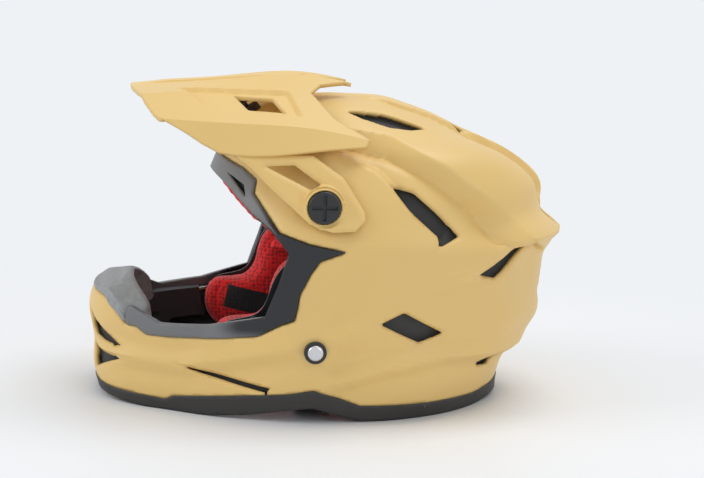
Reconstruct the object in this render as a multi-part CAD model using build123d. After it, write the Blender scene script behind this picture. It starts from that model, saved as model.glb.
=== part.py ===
from build123d import *
import os
from math import cos, hypot, radians, sin

os.makedirs("parts", exist_ok=True)

# Overall sizes of the helmet, in millimetres.
# The wearer looks along -Y, the wearer's left is +X, and the floor is z = 0.
crown_height = 229.0
half_length = 180.5
half_width = 122.0
shell_wall = 4.0
centre_height = 100.0
skirt_drop = 20.0

# Clearances shared by mating pieces
seat_gap = 0.3
running_gap = 1.5
overrun = 60.0

# Trims, screens and foam
trim_proud = 0.8
trim_depth = 7.0
trim_flange = 2.0
trim_lap = 4.0
screen_thickness = 1.0
screen_lap = 4.0
foam_floor = 27.0
chin_foam_depth = 17.0

# Bore of the crown foam, which takes the liner and the head
bore_half_width = 91.0
bore_half_length = 113.0
bore_setback = 16.0
bore_height = 197.0
bore_spring_height = 118.0
liner_thickness = 9.0
liner_floor = 120.0

# Visor and its fixings
visor_wall = 3.0
visor_top = 239.0
pivot_setback = -14.0
pivot_height = 157.0
tilt_down_at_rear = 3.0
arm_stand_off = 114.5
arm_wall = 3.2
arm_lean_share = 0.48
boss_radius = 13.0
boss_face = 112.5
screw_seat = 116.0
screw_head_radius = 11.5
screw_head_height = 5.0
screw_shank_radius = 3.0
screw_shank_end = 96.0
insert_wall = 1.5
insert_flange = 7.0
insert_flange_height = 1.5
centre_shank_radius = 2.5
centre_head_radius = 7.0
centre_head_height = 3.5
washer_radius = 9.0
insert_face = 96.8
insert_depth = 6.0
slot_length_share = 0.78
slot_width = 2.6
slot_depth = 2.2

# Centre fixing: lengths are distances from the tilt axis, angles are in degrees
fixing_lean = 40.0
centre_end = 57.0
centre_insert_face = 64.8
tab_radius = 77.5
tab_half_width = 11.0
rib_wall = 2.5
tongue_front_angle = 10.0
tongue_rear_angle = 17.0
tilt_up_angle = 4.0
tilt_down_angle = 11.0

# Pads
cheek_back = 89.6
cheek_thickness = 28.0
cheek_plate = 1.2
snap_radius = 5.0
snap_depth = 3.0
mouth_pad_half_width = 62.5
mouth_pad_depth = 26.0
roll_half_thickness = 9.5
roll_half_height = 11.5
roll_bend = 30.0
foam_front = -45.0
brow_height = 150.0
chin_foam_top = 62.0
sliver_volume = 2.0

# Strap, its rivets and its rings
rivet_setback = -18.0
rivet_height = 54.0
rivet_shank_radius = 2.5
rivet_dome_radius = 5.8
rivet_ring_radius = 8.0
strap_width = 24.0
strap_thickness = 2.0
strap_line = 111.0
rivet_face = 123.2
rivet_dome_height = 2.4
dome_round_share = 0.85
rivet_tail_radius = 4.5
rivet_tail_height = 1.4
anchor_half_width = 10.0
anchor_half_height = 12.0
anchor_thickness = 1.5
strap_floor = 3.3
strap_top = 66.0
strap_bend = 9.0
strap_knee = 44.0
strap_elbow_out = 100.0
strap_elbow_up = 14.0
strap_landing = 86.0
strap_loop = 35.0
strap_tail = -2.0
ring_wire = 1.75
ring_pitch = 5.0
ring_play = 0.35
loop_wall = 1.0
inner_ring_half_width = 14.0
inner_ring_reach = 20.0
outer_ring_half_width = 18.5
outer_ring_reach = 29.0
ring_corner = 2.0
ring_round = 12.0
stud_place = -22.0
stud_radius = 6.0
stud_height = 3.0

# Outline of the shell in plan at each height, from the chin front round to the rear.
# Each row is a height as a share of crown_height, and reaches every 15 degrees
# as shares of the plain oval with the helmet's own half width and half length.
shell_row_shares = [
    (0.000, (0.95, 0.95, 0.86, 0.84, 0.86, 0.90, 0.90, 0.87, 0.81, 0.76, 0.73, 0.74, 0.75)),
    (0.087, (0.98, 0.97, 0.89, 0.86, 0.89, 0.94, 0.95, 0.92, 0.87, 0.80, 0.77, 0.76, 0.76)),
    (0.175, (0.98, 0.97, 0.89, 0.87, 0.90, 0.96, 0.98, 0.96, 0.91, 0.84, 0.82, 0.82, 0.83)),
    (0.262, (1.00, 0.98, 0.91, 0.88, 0.91, 0.97, 1.00, 0.99, 0.94, 0.89, 0.88, 0.89, 0.92)),
    (0.349, (0.98, 0.97, 0.89, 0.88, 0.91, 0.97, 1.00, 0.99, 0.95, 0.90, 0.89, 0.90, 0.93)),
    (0.437, (0.89, 0.87, 0.83, 0.86, 0.91, 0.98, 1.00, 0.99, 0.96, 0.93, 0.91, 0.91, 0.94)),
    (0.498, (0.78, 0.77, 0.76, 0.82, 0.90, 0.97, 1.00, 0.99, 0.96, 0.94, 0.94, 0.94, 0.96)),
    (0.563, (0.65, 0.65, 0.69, 0.76, 0.86, 0.95, 0.98, 0.99, 0.96, 0.95, 0.98, 0.99, 1.00)),
    (0.624, (0.59, 0.59, 0.63, 0.70, 0.80, 0.91, 0.93, 0.95, 0.92, 0.90, 0.91, 0.92, 0.92)),
    (0.690, (0.53, 0.54, 0.58, 0.66, 0.74, 0.83, 0.88, 0.90, 0.89, 0.88, 0.89, 0.90, 0.91)),
    (0.755, (0.49, 0.50, 0.54, 0.61, 0.68, 0.77, 0.83, 0.84, 0.84, 0.85, 0.86, 0.87, 0.87)),
    (0.830, (0.45, 0.46, 0.49, 0.55, 0.62, 0.69, 0.75, 0.76, 0.76, 0.76, 0.76, 0.74, 0.73)),
    (0.886, (0.40, 0.41, 0.43, 0.47, 0.54, 0.61, 0.65, 0.64, 0.60, 0.58, 0.57, 0.56, 0.56)),
    (0.934, (0.32, 0.33, 0.35, 0.38, 0.42, 0.47, 0.50, 0.49, 0.45, 0.43, 0.42, 0.42, 0.43)),
    (0.969, (0.23, 0.23, 0.24, 0.27, 0.30, 0.34, 0.36, 0.35, 0.32, 0.31, 0.29, 0.29, 0.30)),
    (0.991, (0.11, 0.11, 0.12, 0.13, 0.14, 0.16, 0.17, 0.17, 0.16, 0.16, 0.17, 0.18, 0.19)),
    (1.000, (0.03, 0.03, 0.03, 0.04, 0.04, 0.05, 0.05, 0.05, 0.04, 0.04, 0.03, 0.03, 0.03)),
]

# Outlines seen from the side: shares of half_length along Y and of crown_height up
chin_line_shares = [
    (-0.765, 0.240), (-0.803, 0.264), (-0.850, 0.264), (-0.889, 0.303), (-0.920, 0.338),
    (-0.960, 0.350), (-1.110, 0.352),
]
port_shares = [
    (-0.380, 0.775), (-0.330, 0.745), (-0.340, 0.705), (-0.305, 0.665), (-0.245, 0.600),
    (-0.125, 0.570), (0.015, 0.550), (-0.090, 0.520), (-0.125, 0.480), (-0.165, 0.415),
    (-0.175, 0.360), (-0.185, 0.330), (-0.235, 0.315), (-0.325, 0.275), (-0.480, 0.256),
    (-0.675, 0.242),
] + chin_line_shares + [(-1.110, 0.810), (-0.510, 0.810)]
port_inner_shares = [
    (-0.525, 0.760), (-0.430, 0.710), (-0.345, 0.640), (-0.275, 0.600), (-0.210, 0.540),
    (-0.250, 0.440), (-0.300, 0.335), (-0.520, 0.295), (-0.710, 0.285), (-0.830, 0.330),
    (-1.110, 0.395), (-1.110, 0.770),
]
trim_hole_shares = [(-0.440, 0.755), (-0.375, 0.725), (-0.370, 0.690)]
skirt_low_shares = [
    (-1.055, 0.035), (-0.905, 0.015), (-0.760, 0.000), (-0.555, 0.000), (-0.370, 0.015),
    (-0.200, 0.040), (-0.100, 0.050), (0.080, 0.005), (0.190, 0.000), (0.585, 0.000),
    (0.715, 0.015), (1.055, 0.050),
]
skirt_top_shares = [
    (-1.055, 0.060), (-0.905, 0.045), (-0.680, 0.035), (-0.650, 0.050), (-0.375, 0.080),
    (-0.200, 0.095), (-0.100, 0.110), (0.090, 0.055), (0.355, 0.050), (0.595, 0.045),
    (0.720, 0.060), (1.055, 0.085),
]
mouth_pad_shares = chin_line_shares + [
    (-1.110, 0.375), (-0.930, 0.375), (-0.870, 0.388), (-0.825, 0.405), (-0.795, 0.385),
    (-0.750, 0.330), (-0.730, 0.250),
]
mouth_pad_front_shares = [
    (-0.512, 0.150), (-0.512, 0.268), (-0.450, 0.295), (-0.370, 0.325), (-0.165, 0.378),
    (0.000, 0.402), (0.165, 0.378), (0.370, 0.325), (0.450, 0.295), (0.512, 0.268),
    (0.512, 0.150),
]
cheek_pad_shares = [
    (-0.490, 0.165), (-0.490, 0.360), (-0.355, 0.420), (-0.275, 0.500), (-0.110, 0.515),
    (0.035, 0.470), (0.065, 0.260), (0.020, 0.130), (-0.110, 0.095), (-0.330, 0.105),
]
brow_pad_shares = [
    (-0.555, 0.760), (-0.465, 0.700), (-0.355, 0.615), (-0.275, 0.565), (-0.235, 0.595),
    (-0.310, 0.655), (-0.400, 0.735), (-0.465, 0.790), (-0.555, 0.800),
]
arm_shares = [
    (-0.430, 0.835), (-0.360, 0.795), (-0.290, 0.740), (-0.215, 0.690), (-0.135, 0.635),
    (-0.045, 0.610), (0.045, 0.615), (0.085, 0.645), (0.085, 0.670), (0.005, 0.770),
    (-0.115, 0.835),
]
arm_slot_shares = [(-0.300, 0.800), (-0.190, 0.805), (-0.090, 0.750), (-0.130, 0.735)]

snap_shares = [(-0.330, 0.300), (-0.330, 0.180), (-0.060, 0.420)]
cheek_crown_shares = [(0.0, 0.96), (0.25, 1.0), (0.70, 0.97), (0.93, 0.86), (1.0, 0.70)]
pocket_share = 1.02
plate_share = 0.80
roll_shares = [(0.735, 0.030), (0.735, 0.170), (0.340, 0.560)]

# Vents. Side vents are seen along X, top vents along Z, rear and front vents along Y.
# Along Z and Y the first share is of half_width.
arrow_vent_shares = [
    (0.190, 0.755), (0.290, 0.735), (0.475, 0.600), (0.370, 0.565), (0.405, 0.590),
    (0.260, 0.680),
]
diamond_vent_shares = [(0.155, 0.325), (0.250, 0.360), (0.425, 0.285), (0.320, 0.260)]
rear_side_vent_shares = [
    (0.570, 0.465), (0.650, 0.445), (0.830, 0.520), (0.770, 0.530), (0.665, 0.490),
]
lower_vent_shares = [(0.570, 0.155), (0.665, 0.155), (0.630, 0.120)]
chin_slit_shares = [
    (-0.635, 0.155), (-0.530, 0.155), (-0.285, 0.100), (-0.315, 0.090), (-0.415, 0.115),
]
top_vent_shares = [
    (0.420, 0.040), (0.375, 0.190), (0.395, 0.375), (0.475, 0.300), (0.500, 0.210),
    (0.475, 0.100),
]
dorsal_vent_shares = [(0.050, 0.475), (0.115, 0.545), (0.040, 0.575)]
tail_vent_shares = [(0.075, 0.660), (0.015, 0.585), (0.195, 0.580)]
rear_vent_shares = [(-0.170, 0.360), (0.170, 0.360), (0.105, 0.320), (-0.105, 0.320)]
chin_upper_vent_shares = [(0.105, 0.262), (0.115, 0.192), (0.410, 0.186)]
chin_lower_vent_shares = [(0.150, 0.158), (0.430, 0.148), (0.180, 0.083)]

# Visor cross-sections from front to rear. Each row is a place along half_length, then
# the ridge, fin line, panel, crease and lip as shares of half_width and of visor_top.
visor_row_shares = [
    (-0.845, ((0.000, 0.971), (0.164, 0.969), (0.410, 0.954), (0.656, 0.891), (0.690, 0.858))),
    (-0.725, ((0.000, 0.979), (0.164, 0.979), (0.410, 0.962), (0.664, 0.895), (0.720, 0.845))),
    (-0.555, ((0.000, 0.987), (0.164, 0.990), (0.410, 0.971), (0.705, 0.891), (0.775, 0.805))),
    (-0.390, ((0.000, 0.996), (0.164, 1.004), (0.410, 0.967), (0.721, 0.887), (0.815, 0.772))),
    (-0.220, ((0.000, 1.000), (0.164, 1.017), (0.410, 0.967), (0.730, 0.883), (0.825, 0.765))),
    (-0.055, ((0.000, 0.996), (0.164, 1.013), (0.410, 0.954), (0.735, 0.870), (0.820, 0.775))),
    (0.140, ((0.000, 0.975), (0.164, 0.985), (0.410, 0.929), (0.746, 0.841), (0.765, 0.830))),
]
visor_plan_shares = [
    (0.000, -0.838), (0.180, -0.830), (0.330, -0.808), (0.480, -0.778), (0.600, -0.745),
    (0.660, -0.720), (0.760, -0.555), (0.840, -0.390), (0.840, 0.060), (0.740, 0.115),
    (0.600, -0.020), (0.370, -0.105), (0.260, -0.060), (0.150, 0.078), (0.060, -0.120),
    (0.000, -0.150),
]
visor_hole_shares = [(0.375, -0.455), (0.525, -0.400), (0.540, -0.245), (0.410, -0.290)]


def shell_point(height, turn, reach_share, scale):
    """A point of the shell's skin, drawn in towards the helmet's middle by scale."""
    oval = hypot(half_width * sin(radians(turn)), half_length * cos(radians(turn)))
    reach = reach_share * oval * scale
    lift = centre_height + (height - centre_height) * scale
    return Vector(reach * sin(radians(turn)), -reach * cos(radians(turn)), lift)


def ring(points):
    """A closed smooth wire through points that count evenly round it."""
    marks = [i / len(points) for i in range(len(points) + 1)]
    return Wire([Edge.make_spline(points, periodic=True, parameters=marks)])


def shell_wire(height, reach_shares, scale):
    """One closed ring of the skin, the same on the left and the right."""
    step = 180.0 / (len(reach_shares) - 1)
    turns = [step * i for i in range(len(reach_shares))]
    left = [shell_point(height, a, s, scale) for a, s in zip(turns, reach_shares)]
    right = [Vector(-p.X, p.Y, p.Z) for p in left[-2:0:-1]]
    return ring(left + right)


def skin(inset):
    """The solid inside the shell's outer surface, drawn in by inset all round."""
    scale = 1.0 - inset / half_width
    rings = [shell_wire(-skirt_drop, shell_row_shares[0][1], scale)]
    for height_share, reach_shares in shell_row_shares:
        rings.append(shell_wire(height_share * crown_height, reach_shares, scale))
    return Part() + Solid.make_loft(rings)


def bore(inset):
    """The head-shaped hollow of the foam, drawn in by inset all round."""
    width = bore_half_width - inset
    length = bore_half_length - inset
    rise = bore_height - inset - bore_spring_height
    rings = []
    for rise_share in (-2.4, -1.2, 0.0, 0.35, 0.62, 0.82, 0.93, 0.985):
        closing = (1.0 - max(rise_share, 0.0) ** 2.3) ** (1.0 / 2.3)
        lift = bore_spring_height + rise * rise_share
        points = []
        for i in range(24):
            turn = radians(15.0 * i)
            x = width * closing * sin(turn)
            y = bore_setback - length * closing * cos(turn)
            points.append(Vector(x, y, lift))
        rings.append(ring(points))
    return Part() + Solid.make_loft(rings)


def prism(points, direction, growth=0.0):
    """A straight prism on a flat outline, grown all round by growth."""
    wire = Wire.make_polygon(points, close=True)
    if growth:
        wire = wire.offset_2d(growth, kind=Kind.ARC)
    return Part() + Solid.extrude(Face(wire), direction)


def side_prism(outline_shares, growth=0.0, start=0.0):
    """A prism along +X on an outline seen from the side, starting at start."""
    points = [Vector(start, y * half_length, z * crown_height) for y, z in outline_shares]
    return prism(points, Vector(half_width + overrun - start, 0, 0), growth)


def through_prism(outline_shares, growth=0.0):
    """A prism on a side outline that passes right through the helmet."""
    reach = half_width + overrun
    points = [Vector(-reach, y * half_length, z * crown_height) for y, z in outline_shares]
    return prism(points, Vector(2 * reach, 0, 0), growth)


def top_prism(outline_shares, growth=0.0):
    """A prism along +Z on an outline seen from above, for the dome."""
    start = bore_spring_height
    points = [Vector(x * half_width, y * half_length, start) for x, y in outline_shares]
    return prism(points, Vector(0, 0, crown_height + overrun - start), growth)


def end_prism(outline_shares, growth, facing):
    """A prism along Y on an outline seen from the rear (+1) or the front (-1)."""
    start = facing * (bore_half_length - overrun)
    points = [Vector(x * half_width, start, z * crown_height) for x, z in outline_shares]
    return prism(points, Vector(0, facing * (half_length + overrun), 0), growth)


def both(shape):
    """The shape with its mirror image on the other side of the helmet."""
    return shape + shape.mirror(Plane.YZ)


def cylinder_along_x(radius, start, end, y, z):
    """A round bar along X between two places."""
    face = Plane(origin=(start, y, z), z_dir=(1, 0, 0)) * Circle(radius)
    return extrude(face, end - start)


def block(x0, x1, y0, y1, z0, z1):
    """A box between two corners."""
    size = Box(x1 - x0, y1 - y0, z1 - z0, align=(Align.MIN, Align.MIN, Align.MIN))
    return Pos(x0, y0, z0) * size


def vents(growth=0.0):
    """Every vent's prism, by the name of its screens."""
    return {
        "arrow_vent_screens": both(side_prism(arrow_vent_shares, growth, overrun)),
        "diamond_vent_screens": both(side_prism(diamond_vent_shares, growth, overrun)),
        "rear_side_vent_screens": both(side_prism(rear_side_vent_shares, growth, seat_gap)),
        "lower_vent_screens": both(side_prism(lower_vent_shares, growth, seat_gap)),
        "chin_slit_screens": both(side_prism(chin_slit_shares, growth, seat_gap)),
        "top_vent_screens": both(top_prism(top_vent_shares, growth)),
        "dorsal_vent_screens": both(top_prism(dorsal_vent_shares, growth)),
        "tail_vent_screens": both(end_prism(tail_vent_shares, growth, 1)),
        "rear_vent_screen": end_prism(rear_vent_shares, growth, 1),
        "chin_vent_screens": both(
            end_prism(chin_upper_vent_shares, growth, -1)
            + end_prism(chin_lower_vent_shares, growth, -1)
        ),
    }


def below(outline_shares, growth=0.0):
    """The space under a line that runs from the front to the rear."""
    floor_share = -2 * skirt_drop / crown_height
    first, last = outline_shares[0], outline_shares[-1]
    closed = outline_shares + [(last[0], floor_share), (first[0], floor_share)]
    return through_prism(closed, growth)


def plain_solids(shape):
    """The shape's solids as one part, without any sliver that a cut left."""
    keep = [s for s in shape.solids() if s.volume > sliver_volume]
    return Part() + keep


def outer_shell(outer, inner):
    """The one-piece painted shell with its chin bar, eyeport, vents and fixing holes."""
    screw_hole = cylinder_along_x(
        screw_shank_radius + insert_wall + seat_gap, overrun, half_width, pivot_setback, pivot_height
    )
    rivet_hole = cylinder_along_x(
        rivet_shank_radius + seat_gap, overrun, half_width + overrun, rivet_setback, rivet_height
    )
    crown_hole = fixing_bar(centre_shank_radius + insert_wall + seat_gap, centre_end, tab_radius)
    tools = list(vents().values())
    tools += [through_prism(port_shares, seat_gap), below(skirt_top_shares, seat_gap)]
    tools += [both(screw_hole), both(rivet_hole), crown_hole]
    return plain_solids((outer - inner).cut(*tools))


def fixing_frame():
    """The visor's centre fixing: its Z leans forward from the tilt axis to the screw."""
    lean = radians(fixing_lean)
    return Plane(
        origin=(0, pivot_setback, pivot_height), x_dir=(1, 0, 0), z_dir=(0, -sin(lean), cos(lean))
    )


def fixing_bar(radius, start, end):
    """A round bar between two distances from the tilt axis, at the centre fixing."""
    bar = Cylinder(radius, end - start, align=(Align.CENTER, Align.CENTER, Align.MIN))
    return fixing_frame() * (Pos(0, 0, start) * bar)


def vent_screens():
    """Fine mesh sheets, glued behind the vents, one group for each kind of vent."""
    sheet = skin(shell_wall + seat_gap) - skin(shell_wall + seat_gap + screen_thickness)
    sheet = sheet - below(skirt_top_shares, seat_gap)
    return {name: sheet & tool for name, tool in vents(screen_lap).items()}


def cheek_ring(x, spread):
    """One closed ring of the left cheek pad, spread about the pad's middle."""
    middle_y = sum(y for y, z in cheek_pad_shares) / len(cheek_pad_shares)
    middle_z = sum(z for y, z in cheek_pad_shares) / len(cheek_pad_shares)
    points = []
    for y, z in cheek_pad_shares:
        points.append(Vector(
            x,
            (middle_y + (y - middle_y) * spread) * half_length,
            (middle_z + (z - middle_z) * spread) * crown_height,
        ))
    return ring(points)


def cheek_pocket():
    """The room in the foam for the cheek pads, their plates and their snaps."""
    depth = cheek_back + cheek_plate + 2 * seat_gap
    room = Part() + Solid.extrude(Face(cheek_ring(0, pocket_share)), Vector(depth, 0, 0))
    for y, z in snap_places():
        room += cylinder_along_x(snap_radius + seat_gap, depth - seat_gap, depth + snap_depth, y, z)
    return both(room)


def snap_places():
    """Where the cheek pads' snaps sit, seen from the side."""
    return [(y * half_length, z * crown_height) for y, z in snap_shares]


def trim_seat():
    """The room that the eyeport trim needs in the foam behind the shell's edge."""
    room = through_prism(port_shares, trim_lap + seat_gap)
    return room - skin(trim_depth + seat_gap)


def crown_foam():
    """The energy-absorbing foam of the crown, sides and nape, with its air channels."""
    wide, long = 2 * half_width, 2 * half_length
    front = block(-wide, wide, -long, foam_front, -skirt_drop, brow_height)
    floor = block(-wide, wide, -long, long, -2 * skirt_drop, foam_floor)
    slot_half = strap_width / 2 + running_gap
    strap_slot = block(
        cheek_back, wide, rivet_setback - slot_half, rivet_setback + slot_half, 0, strap_top + slot_half
    )
    screw_pocket = cylinder_along_x(
        insert_flange + seat_gap, screw_shank_end - running_gap, half_width, pivot_setback, pivot_height
    )
    crown_pocket = fixing_bar(insert_flange + seat_gap, centre_end - running_gap, tab_radius)
    tools = [trim_seat(), through_prism(port_inner_shares, running_gap), front, floor]
    tools += [cheek_pocket(), both(strap_slot), both(screw_pocket), crown_pocket]
    tools += list(vents(screen_lap + seat_gap).values())
    body = skin(shell_wall + seat_gap) - bore(0.0)
    return largest(body.cut(*tools))


def largest(shape):
    """The one big solid of a shape that a cut may have left crumbs on."""
    return Part() + max(shape.solids(), key=lambda s: s.volume)


def chin_bar_foam():
    """The black foam that backs the chin bar."""
    body = skin(shell_wall + seat_gap) - skin(chin_foam_depth)
    wide = 2 * half_width
    keep = block(-wide, wide, -2 * half_length, foam_front - seat_gap, foam_floor, chin_foam_top)
    tools = [trim_seat(), cheek_pocket(), through_prism(port_inner_shares, running_gap)]
    tools += [through_prism(mouth_pad_shares, seat_gap)]
    tools += list(vents(screen_lap + seat_gap).values())
    return largest((body & keep).cut(*tools))


def eyeport_trim():
    """The dark lip round the eyeport, with a flange that hooks behind the shell."""
    lip = (skin(-trim_proud) - skin(trim_depth)) & through_prism(port_shares)
    back = shell_wall + seat_gap
    flange = (skin(back) - skin(back + trim_flange)) & through_prism(port_shares, trim_lap)
    hole = both(side_prism(trim_hole_shares, 0.0, overrun))
    guard = block(
        -mouth_pad_half_width - seat_gap, mouth_pad_half_width + seat_gap,
        -2 * half_length, foam_front, 0, brow_height
    )
    return largest((lip + flange).cut(through_prism(port_inner_shares), hole, guard))


def mouth_pad():
    """The thick moulded guard on top of the chin bar's front, lower towards its ends."""
    arch = end_prism(mouth_pad_front_shares, 0.0, -1)
    front = skin(-trim_proud) & (through_prism(mouth_pad_shares) & arch)
    return plain_solids(front - skin(mouth_pad_depth))


def bottom_edge_trim():
    """The rubber edging round the bottom of the shell."""
    band = skin(-trim_proud) - skin(trim_depth)
    return plain_solids(band.cut(below(skirt_low_shares)) & below(skirt_top_shares))


def cheek_pad():
    """The left cheek pad: a crowned cushion whose sides draw in towards the face."""
    rings = []
    for depth_share, spread_share in cheek_crown_shares:
        rings.append(cheek_ring(cheek_back - depth_share * cheek_thickness, spread_share))
    return Part() + Solid.make_loft(rings)


def cheek_plates():
    """Thin plates that carry the cheek pads' snaps."""
    start = cheek_back + seat_gap
    ring = cheek_ring(start, plate_share)
    return both(Part() + Solid.extrude(Face(ring), Vector(cheek_plate, 0, 0)))


def cheek_snaps():
    """The round snaps that hold the cheek pads in the foam."""
    start = cheek_back + seat_gap + cheek_plate
    snaps = [cylinder_along_x(snap_radius, start, start + snap_depth, y, z) for y, z in snap_places()]
    return both(Part() + snaps)


def head_layer():
    """The soft layer between the foam and the head."""
    return bore(seat_gap) - bore(seat_gap + liner_thickness)


def crown_liner():
    """The comfort lining of the crown, above the brow pad and the cheek pads."""
    far_share = port_shares[-3][0]
    rear_line = brow_pad_shares[4:]
    ahead = rear_line + [(far_share, rear_line[-1][1]), (far_share, 0.0), (rear_line[0][0], 0.0)]
    wide, long = 2 * half_width, 2 * half_length
    under = block(-wide, wide, -long, long, -2 * crown_height, liner_floor)
    return largest(head_layer().cut(under, through_prism(ahead, seat_gap)))


def brow_pad():
    """The soft strip that rests on the forehead."""
    return largest(head_layer() & through_prism(brow_pad_shares))


def neck_roll():
    """The padded roll under the nape and behind the ears."""
    places = [(x * half_width, y * half_length) for x, y in roll_shares]
    lift = foam_floor - seat_gap - roll_half_height
    points = [Vector(x, y, lift) for x, y in places]
    points += [Vector(-x, y, lift) for x, y in reversed(places)]
    path = FilletPolyline(*points, radius=roll_bend)
    start = Plane(origin=points[0], x_dir=(1, 0, 0), z_dir=(0, 1, 0))
    return Part() + sweep(start * Ellipse(roll_half_thickness, roll_half_height), path=path)


def visor_body(inset, reach, drop):
    """The space under the visor's faceted skin, drawn in by inset."""
    narrow = 1.0 - inset / (visor_row_shares[-1][1][-1][0] * half_width)
    rows = [(place * half_length, marks) for place, marks in visor_row_shares]
    if reach:
        rows = [(rows[0][0] - reach, rows[0][1])] + rows + [(rows[-1][0] + reach, rows[-1][1])]
    rings = []
    for y, marks in rows:
        left = []
        for x_share, z_share in marks:
            left.append(Vector(x_share * half_width * narrow, y, z_share * visor_top - inset))
        if drop:
            left.append(Vector(left[-1].X, y, left[-1].Z - drop))
        right = [Vector(-p.X, p.Y, p.Z) for p in left[:0:-1]]
        rings.append(Wire.make_polygon(left + right, close=True))
    return Part() + Solid.make_loft(rings, ruled=True)


def arm_plate():
    """The left arm: a flat plate that leans in with the side of the dome."""
    points = []
    for y, z in arm_shares:
        lift = z * crown_height
        out = arm_stand_off - arm_lean_share * (lift - pivot_height)
        points.append(Vector(out, y * half_length, lift))
    plate = prism(points, Vector(-arm_wall, 0, 0))
    boss = cylinder_along_x(
        boss_radius, overrun, screw_seat + screw_head_height / 2, pivot_setback, pivot_height
    )
    sink = cylinder_along_x(
        screw_head_radius + seat_gap, screw_seat - seat_gap, half_width + overrun,
        pivot_setback, pivot_height
    )
    hole = cylinder_along_x(
        screw_shank_radius + seat_gap, overrun, half_width, pivot_setback, pivot_height
    )
    washer_room = cylinder_along_x(
        washer_radius + running_gap, overrun, boss_face, pivot_setback, pivot_height
    )
    tools = [side_prism(arm_slot_shares), sink, hole, washer_room, skin(-running_gap)]
    return (plate + boss).cut(*tools)


def tilt_axis():
    """The visor turns about the line through its two side screws."""
    return Axis((0, pivot_setback, pivot_height), (1, 0, 0))


def tilt_drum(radius):
    """A drum about the tilt axis."""
    return fixing_frame() * (Rot(0, 90, 0) * Cylinder(radius, 2 * washer_radius + 2 * tab_half_width))


def centre_tongue():
    """The slotted tongue under the visor, round about the tilt axis, and its two ribs."""
    outer = tab_radius + visor_wall
    frame = fixing_frame()
    fore = -outer * sin(radians(tongue_front_angle))
    aft = outer * sin(radians(tongue_rear_angle))
    keep = frame * block(-tab_half_width, tab_half_width, fore, aft, 0, outer)
    slot_half = centre_shank_radius + seat_gap
    slot_fore = -outer * sin(radians(tilt_up_angle)) - slot_half
    slot_aft = outer * sin(radians(tilt_down_angle)) + slot_half
    slot = frame * block(-slot_half, slot_half, slot_fore, slot_aft, 0, outer)
    rib = frame * block(tab_half_width - rib_wall, tab_half_width, fore, aft, 0, 2 * outer)
    ribs = both(rib & visor_body(0.0, 0.0, 0.0))
    return (((tilt_drum(outer) & keep) - slot) + ribs) - tilt_drum(tab_radius)


def visor():
    """The one-piece peak with its side arms, fins, two air holes and centre tongue."""
    roof = visor_body(0.0, 0.0, 0.0) - visor_body(visor_wall, overrun, overrun)
    plan = visor_plan_shares + [(-x, y) for x, y in reversed(visor_plan_shares[1:-1])]
    tall = crown_height + overrun
    points = [Vector(x * half_width, y * half_length, 0) for x, y in plan]
    roof = roof & prism(points, Vector(0, 0, tall))
    hole = [Vector(x * half_width, y * half_length, 0) for x, y in visor_hole_shares]
    raised_shell = skin(-running_gap).rotate(tilt_axis(), tilt_down_at_rear)
    roof = roof.cut(both(prism(hole, Vector(0, 0, tall))), raised_shell)
    return largest(roof + both(arm_plate()) + centre_tongue())


def side_screw():
    """The left thumb screw: a broad head with crossed slots, and its shank."""
    head = cylinder_along_x(
        screw_head_radius, screw_seat, screw_seat + screw_head_height, pivot_setback, pivot_height
    )
    head = fillet(head.edges().group_by(Axis.X)[-1], screw_head_height / 4)
    shank = cylinder_along_x(
        screw_shank_radius, screw_shank_end, screw_seat, pivot_setback, pivot_height
    )
    top = screw_seat + screw_head_height
    half = screw_head_radius * slot_length_share
    width = slot_width / 2
    cross = block(
        top - slot_depth, top + overrun, pivot_setback - half, pivot_setback + half,
        pivot_height - width, pivot_height + width
    )
    cross += block(
        top - slot_depth, top + overrun, pivot_setback - width, pivot_setback + width,
        pivot_height - half, pivot_height + half
    )
    return (head + shank) - cross


def centre_screw():
    """The screw that clamps the visor's tongue to the forehead."""
    seat = tab_radius + visor_wall + seat_gap
    top = seat + centre_head_height
    bar = Cylinder(
        centre_head_radius, centre_head_height, align=(Align.CENTER, Align.CENTER, Align.MIN)
    )
    bar = fillet(bar.edges().group_by(Axis.Z)[-1], centre_head_height / 4)
    head = fixing_frame() * (Pos(0, 0, seat) * bar)
    half = centre_head_radius * slot_length_share
    slot = fixing_frame() * block(
        -half, half, -slot_width / 2, slot_width / 2, top - slot_depth, top + overrun
    )
    return head + fixing_bar(centre_shank_radius, centre_end, seat) - slot


def screw_inserts():
    """Flanged threaded inserts behind the shell, one for each visor screw."""
    side = cylinder_along_x(
        insert_flange, insert_face - insert_flange_height, insert_face, pivot_setback, pivot_height
    )
    side += cylinder_along_x(
        screw_shank_radius + insert_wall, insert_face, insert_face + insert_depth, pivot_setback,
        pivot_height
    )
    side -= cylinder_along_x(
        screw_shank_radius + seat_gap, overrun, half_width, pivot_setback, pivot_height
    )
    face = centre_insert_face
    centre = fixing_bar(insert_flange, face - insert_flange_height, face)
    centre += fixing_bar(centre_shank_radius + insert_wall, face, face + insert_depth / 2)
    centre -= fixing_bar(centre_shank_radius + seat_gap, centre_end - overrun, tab_radius)
    return both(side) + centre


def visor_washers():
    """Rubber washers that fill the room between the shell and the visor."""
    side = cylinder_along_x(
        washer_radius, overrun, boss_face - seat_gap, pivot_setback, pivot_height
    )
    side -= cylinder_along_x(
        screw_shank_radius + seat_gap, 0, half_width, pivot_setback, pivot_height
    )
    centre = fixing_bar(washer_radius, centre_end, tab_radius) & tilt_drum(tab_radius - seat_gap)
    centre -= fixing_bar(centre_shank_radius + seat_gap, centre_end - overrun, 2 * tab_radius)
    return plain_solids((both(side) + centre) - skin(-seat_gap))


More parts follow.
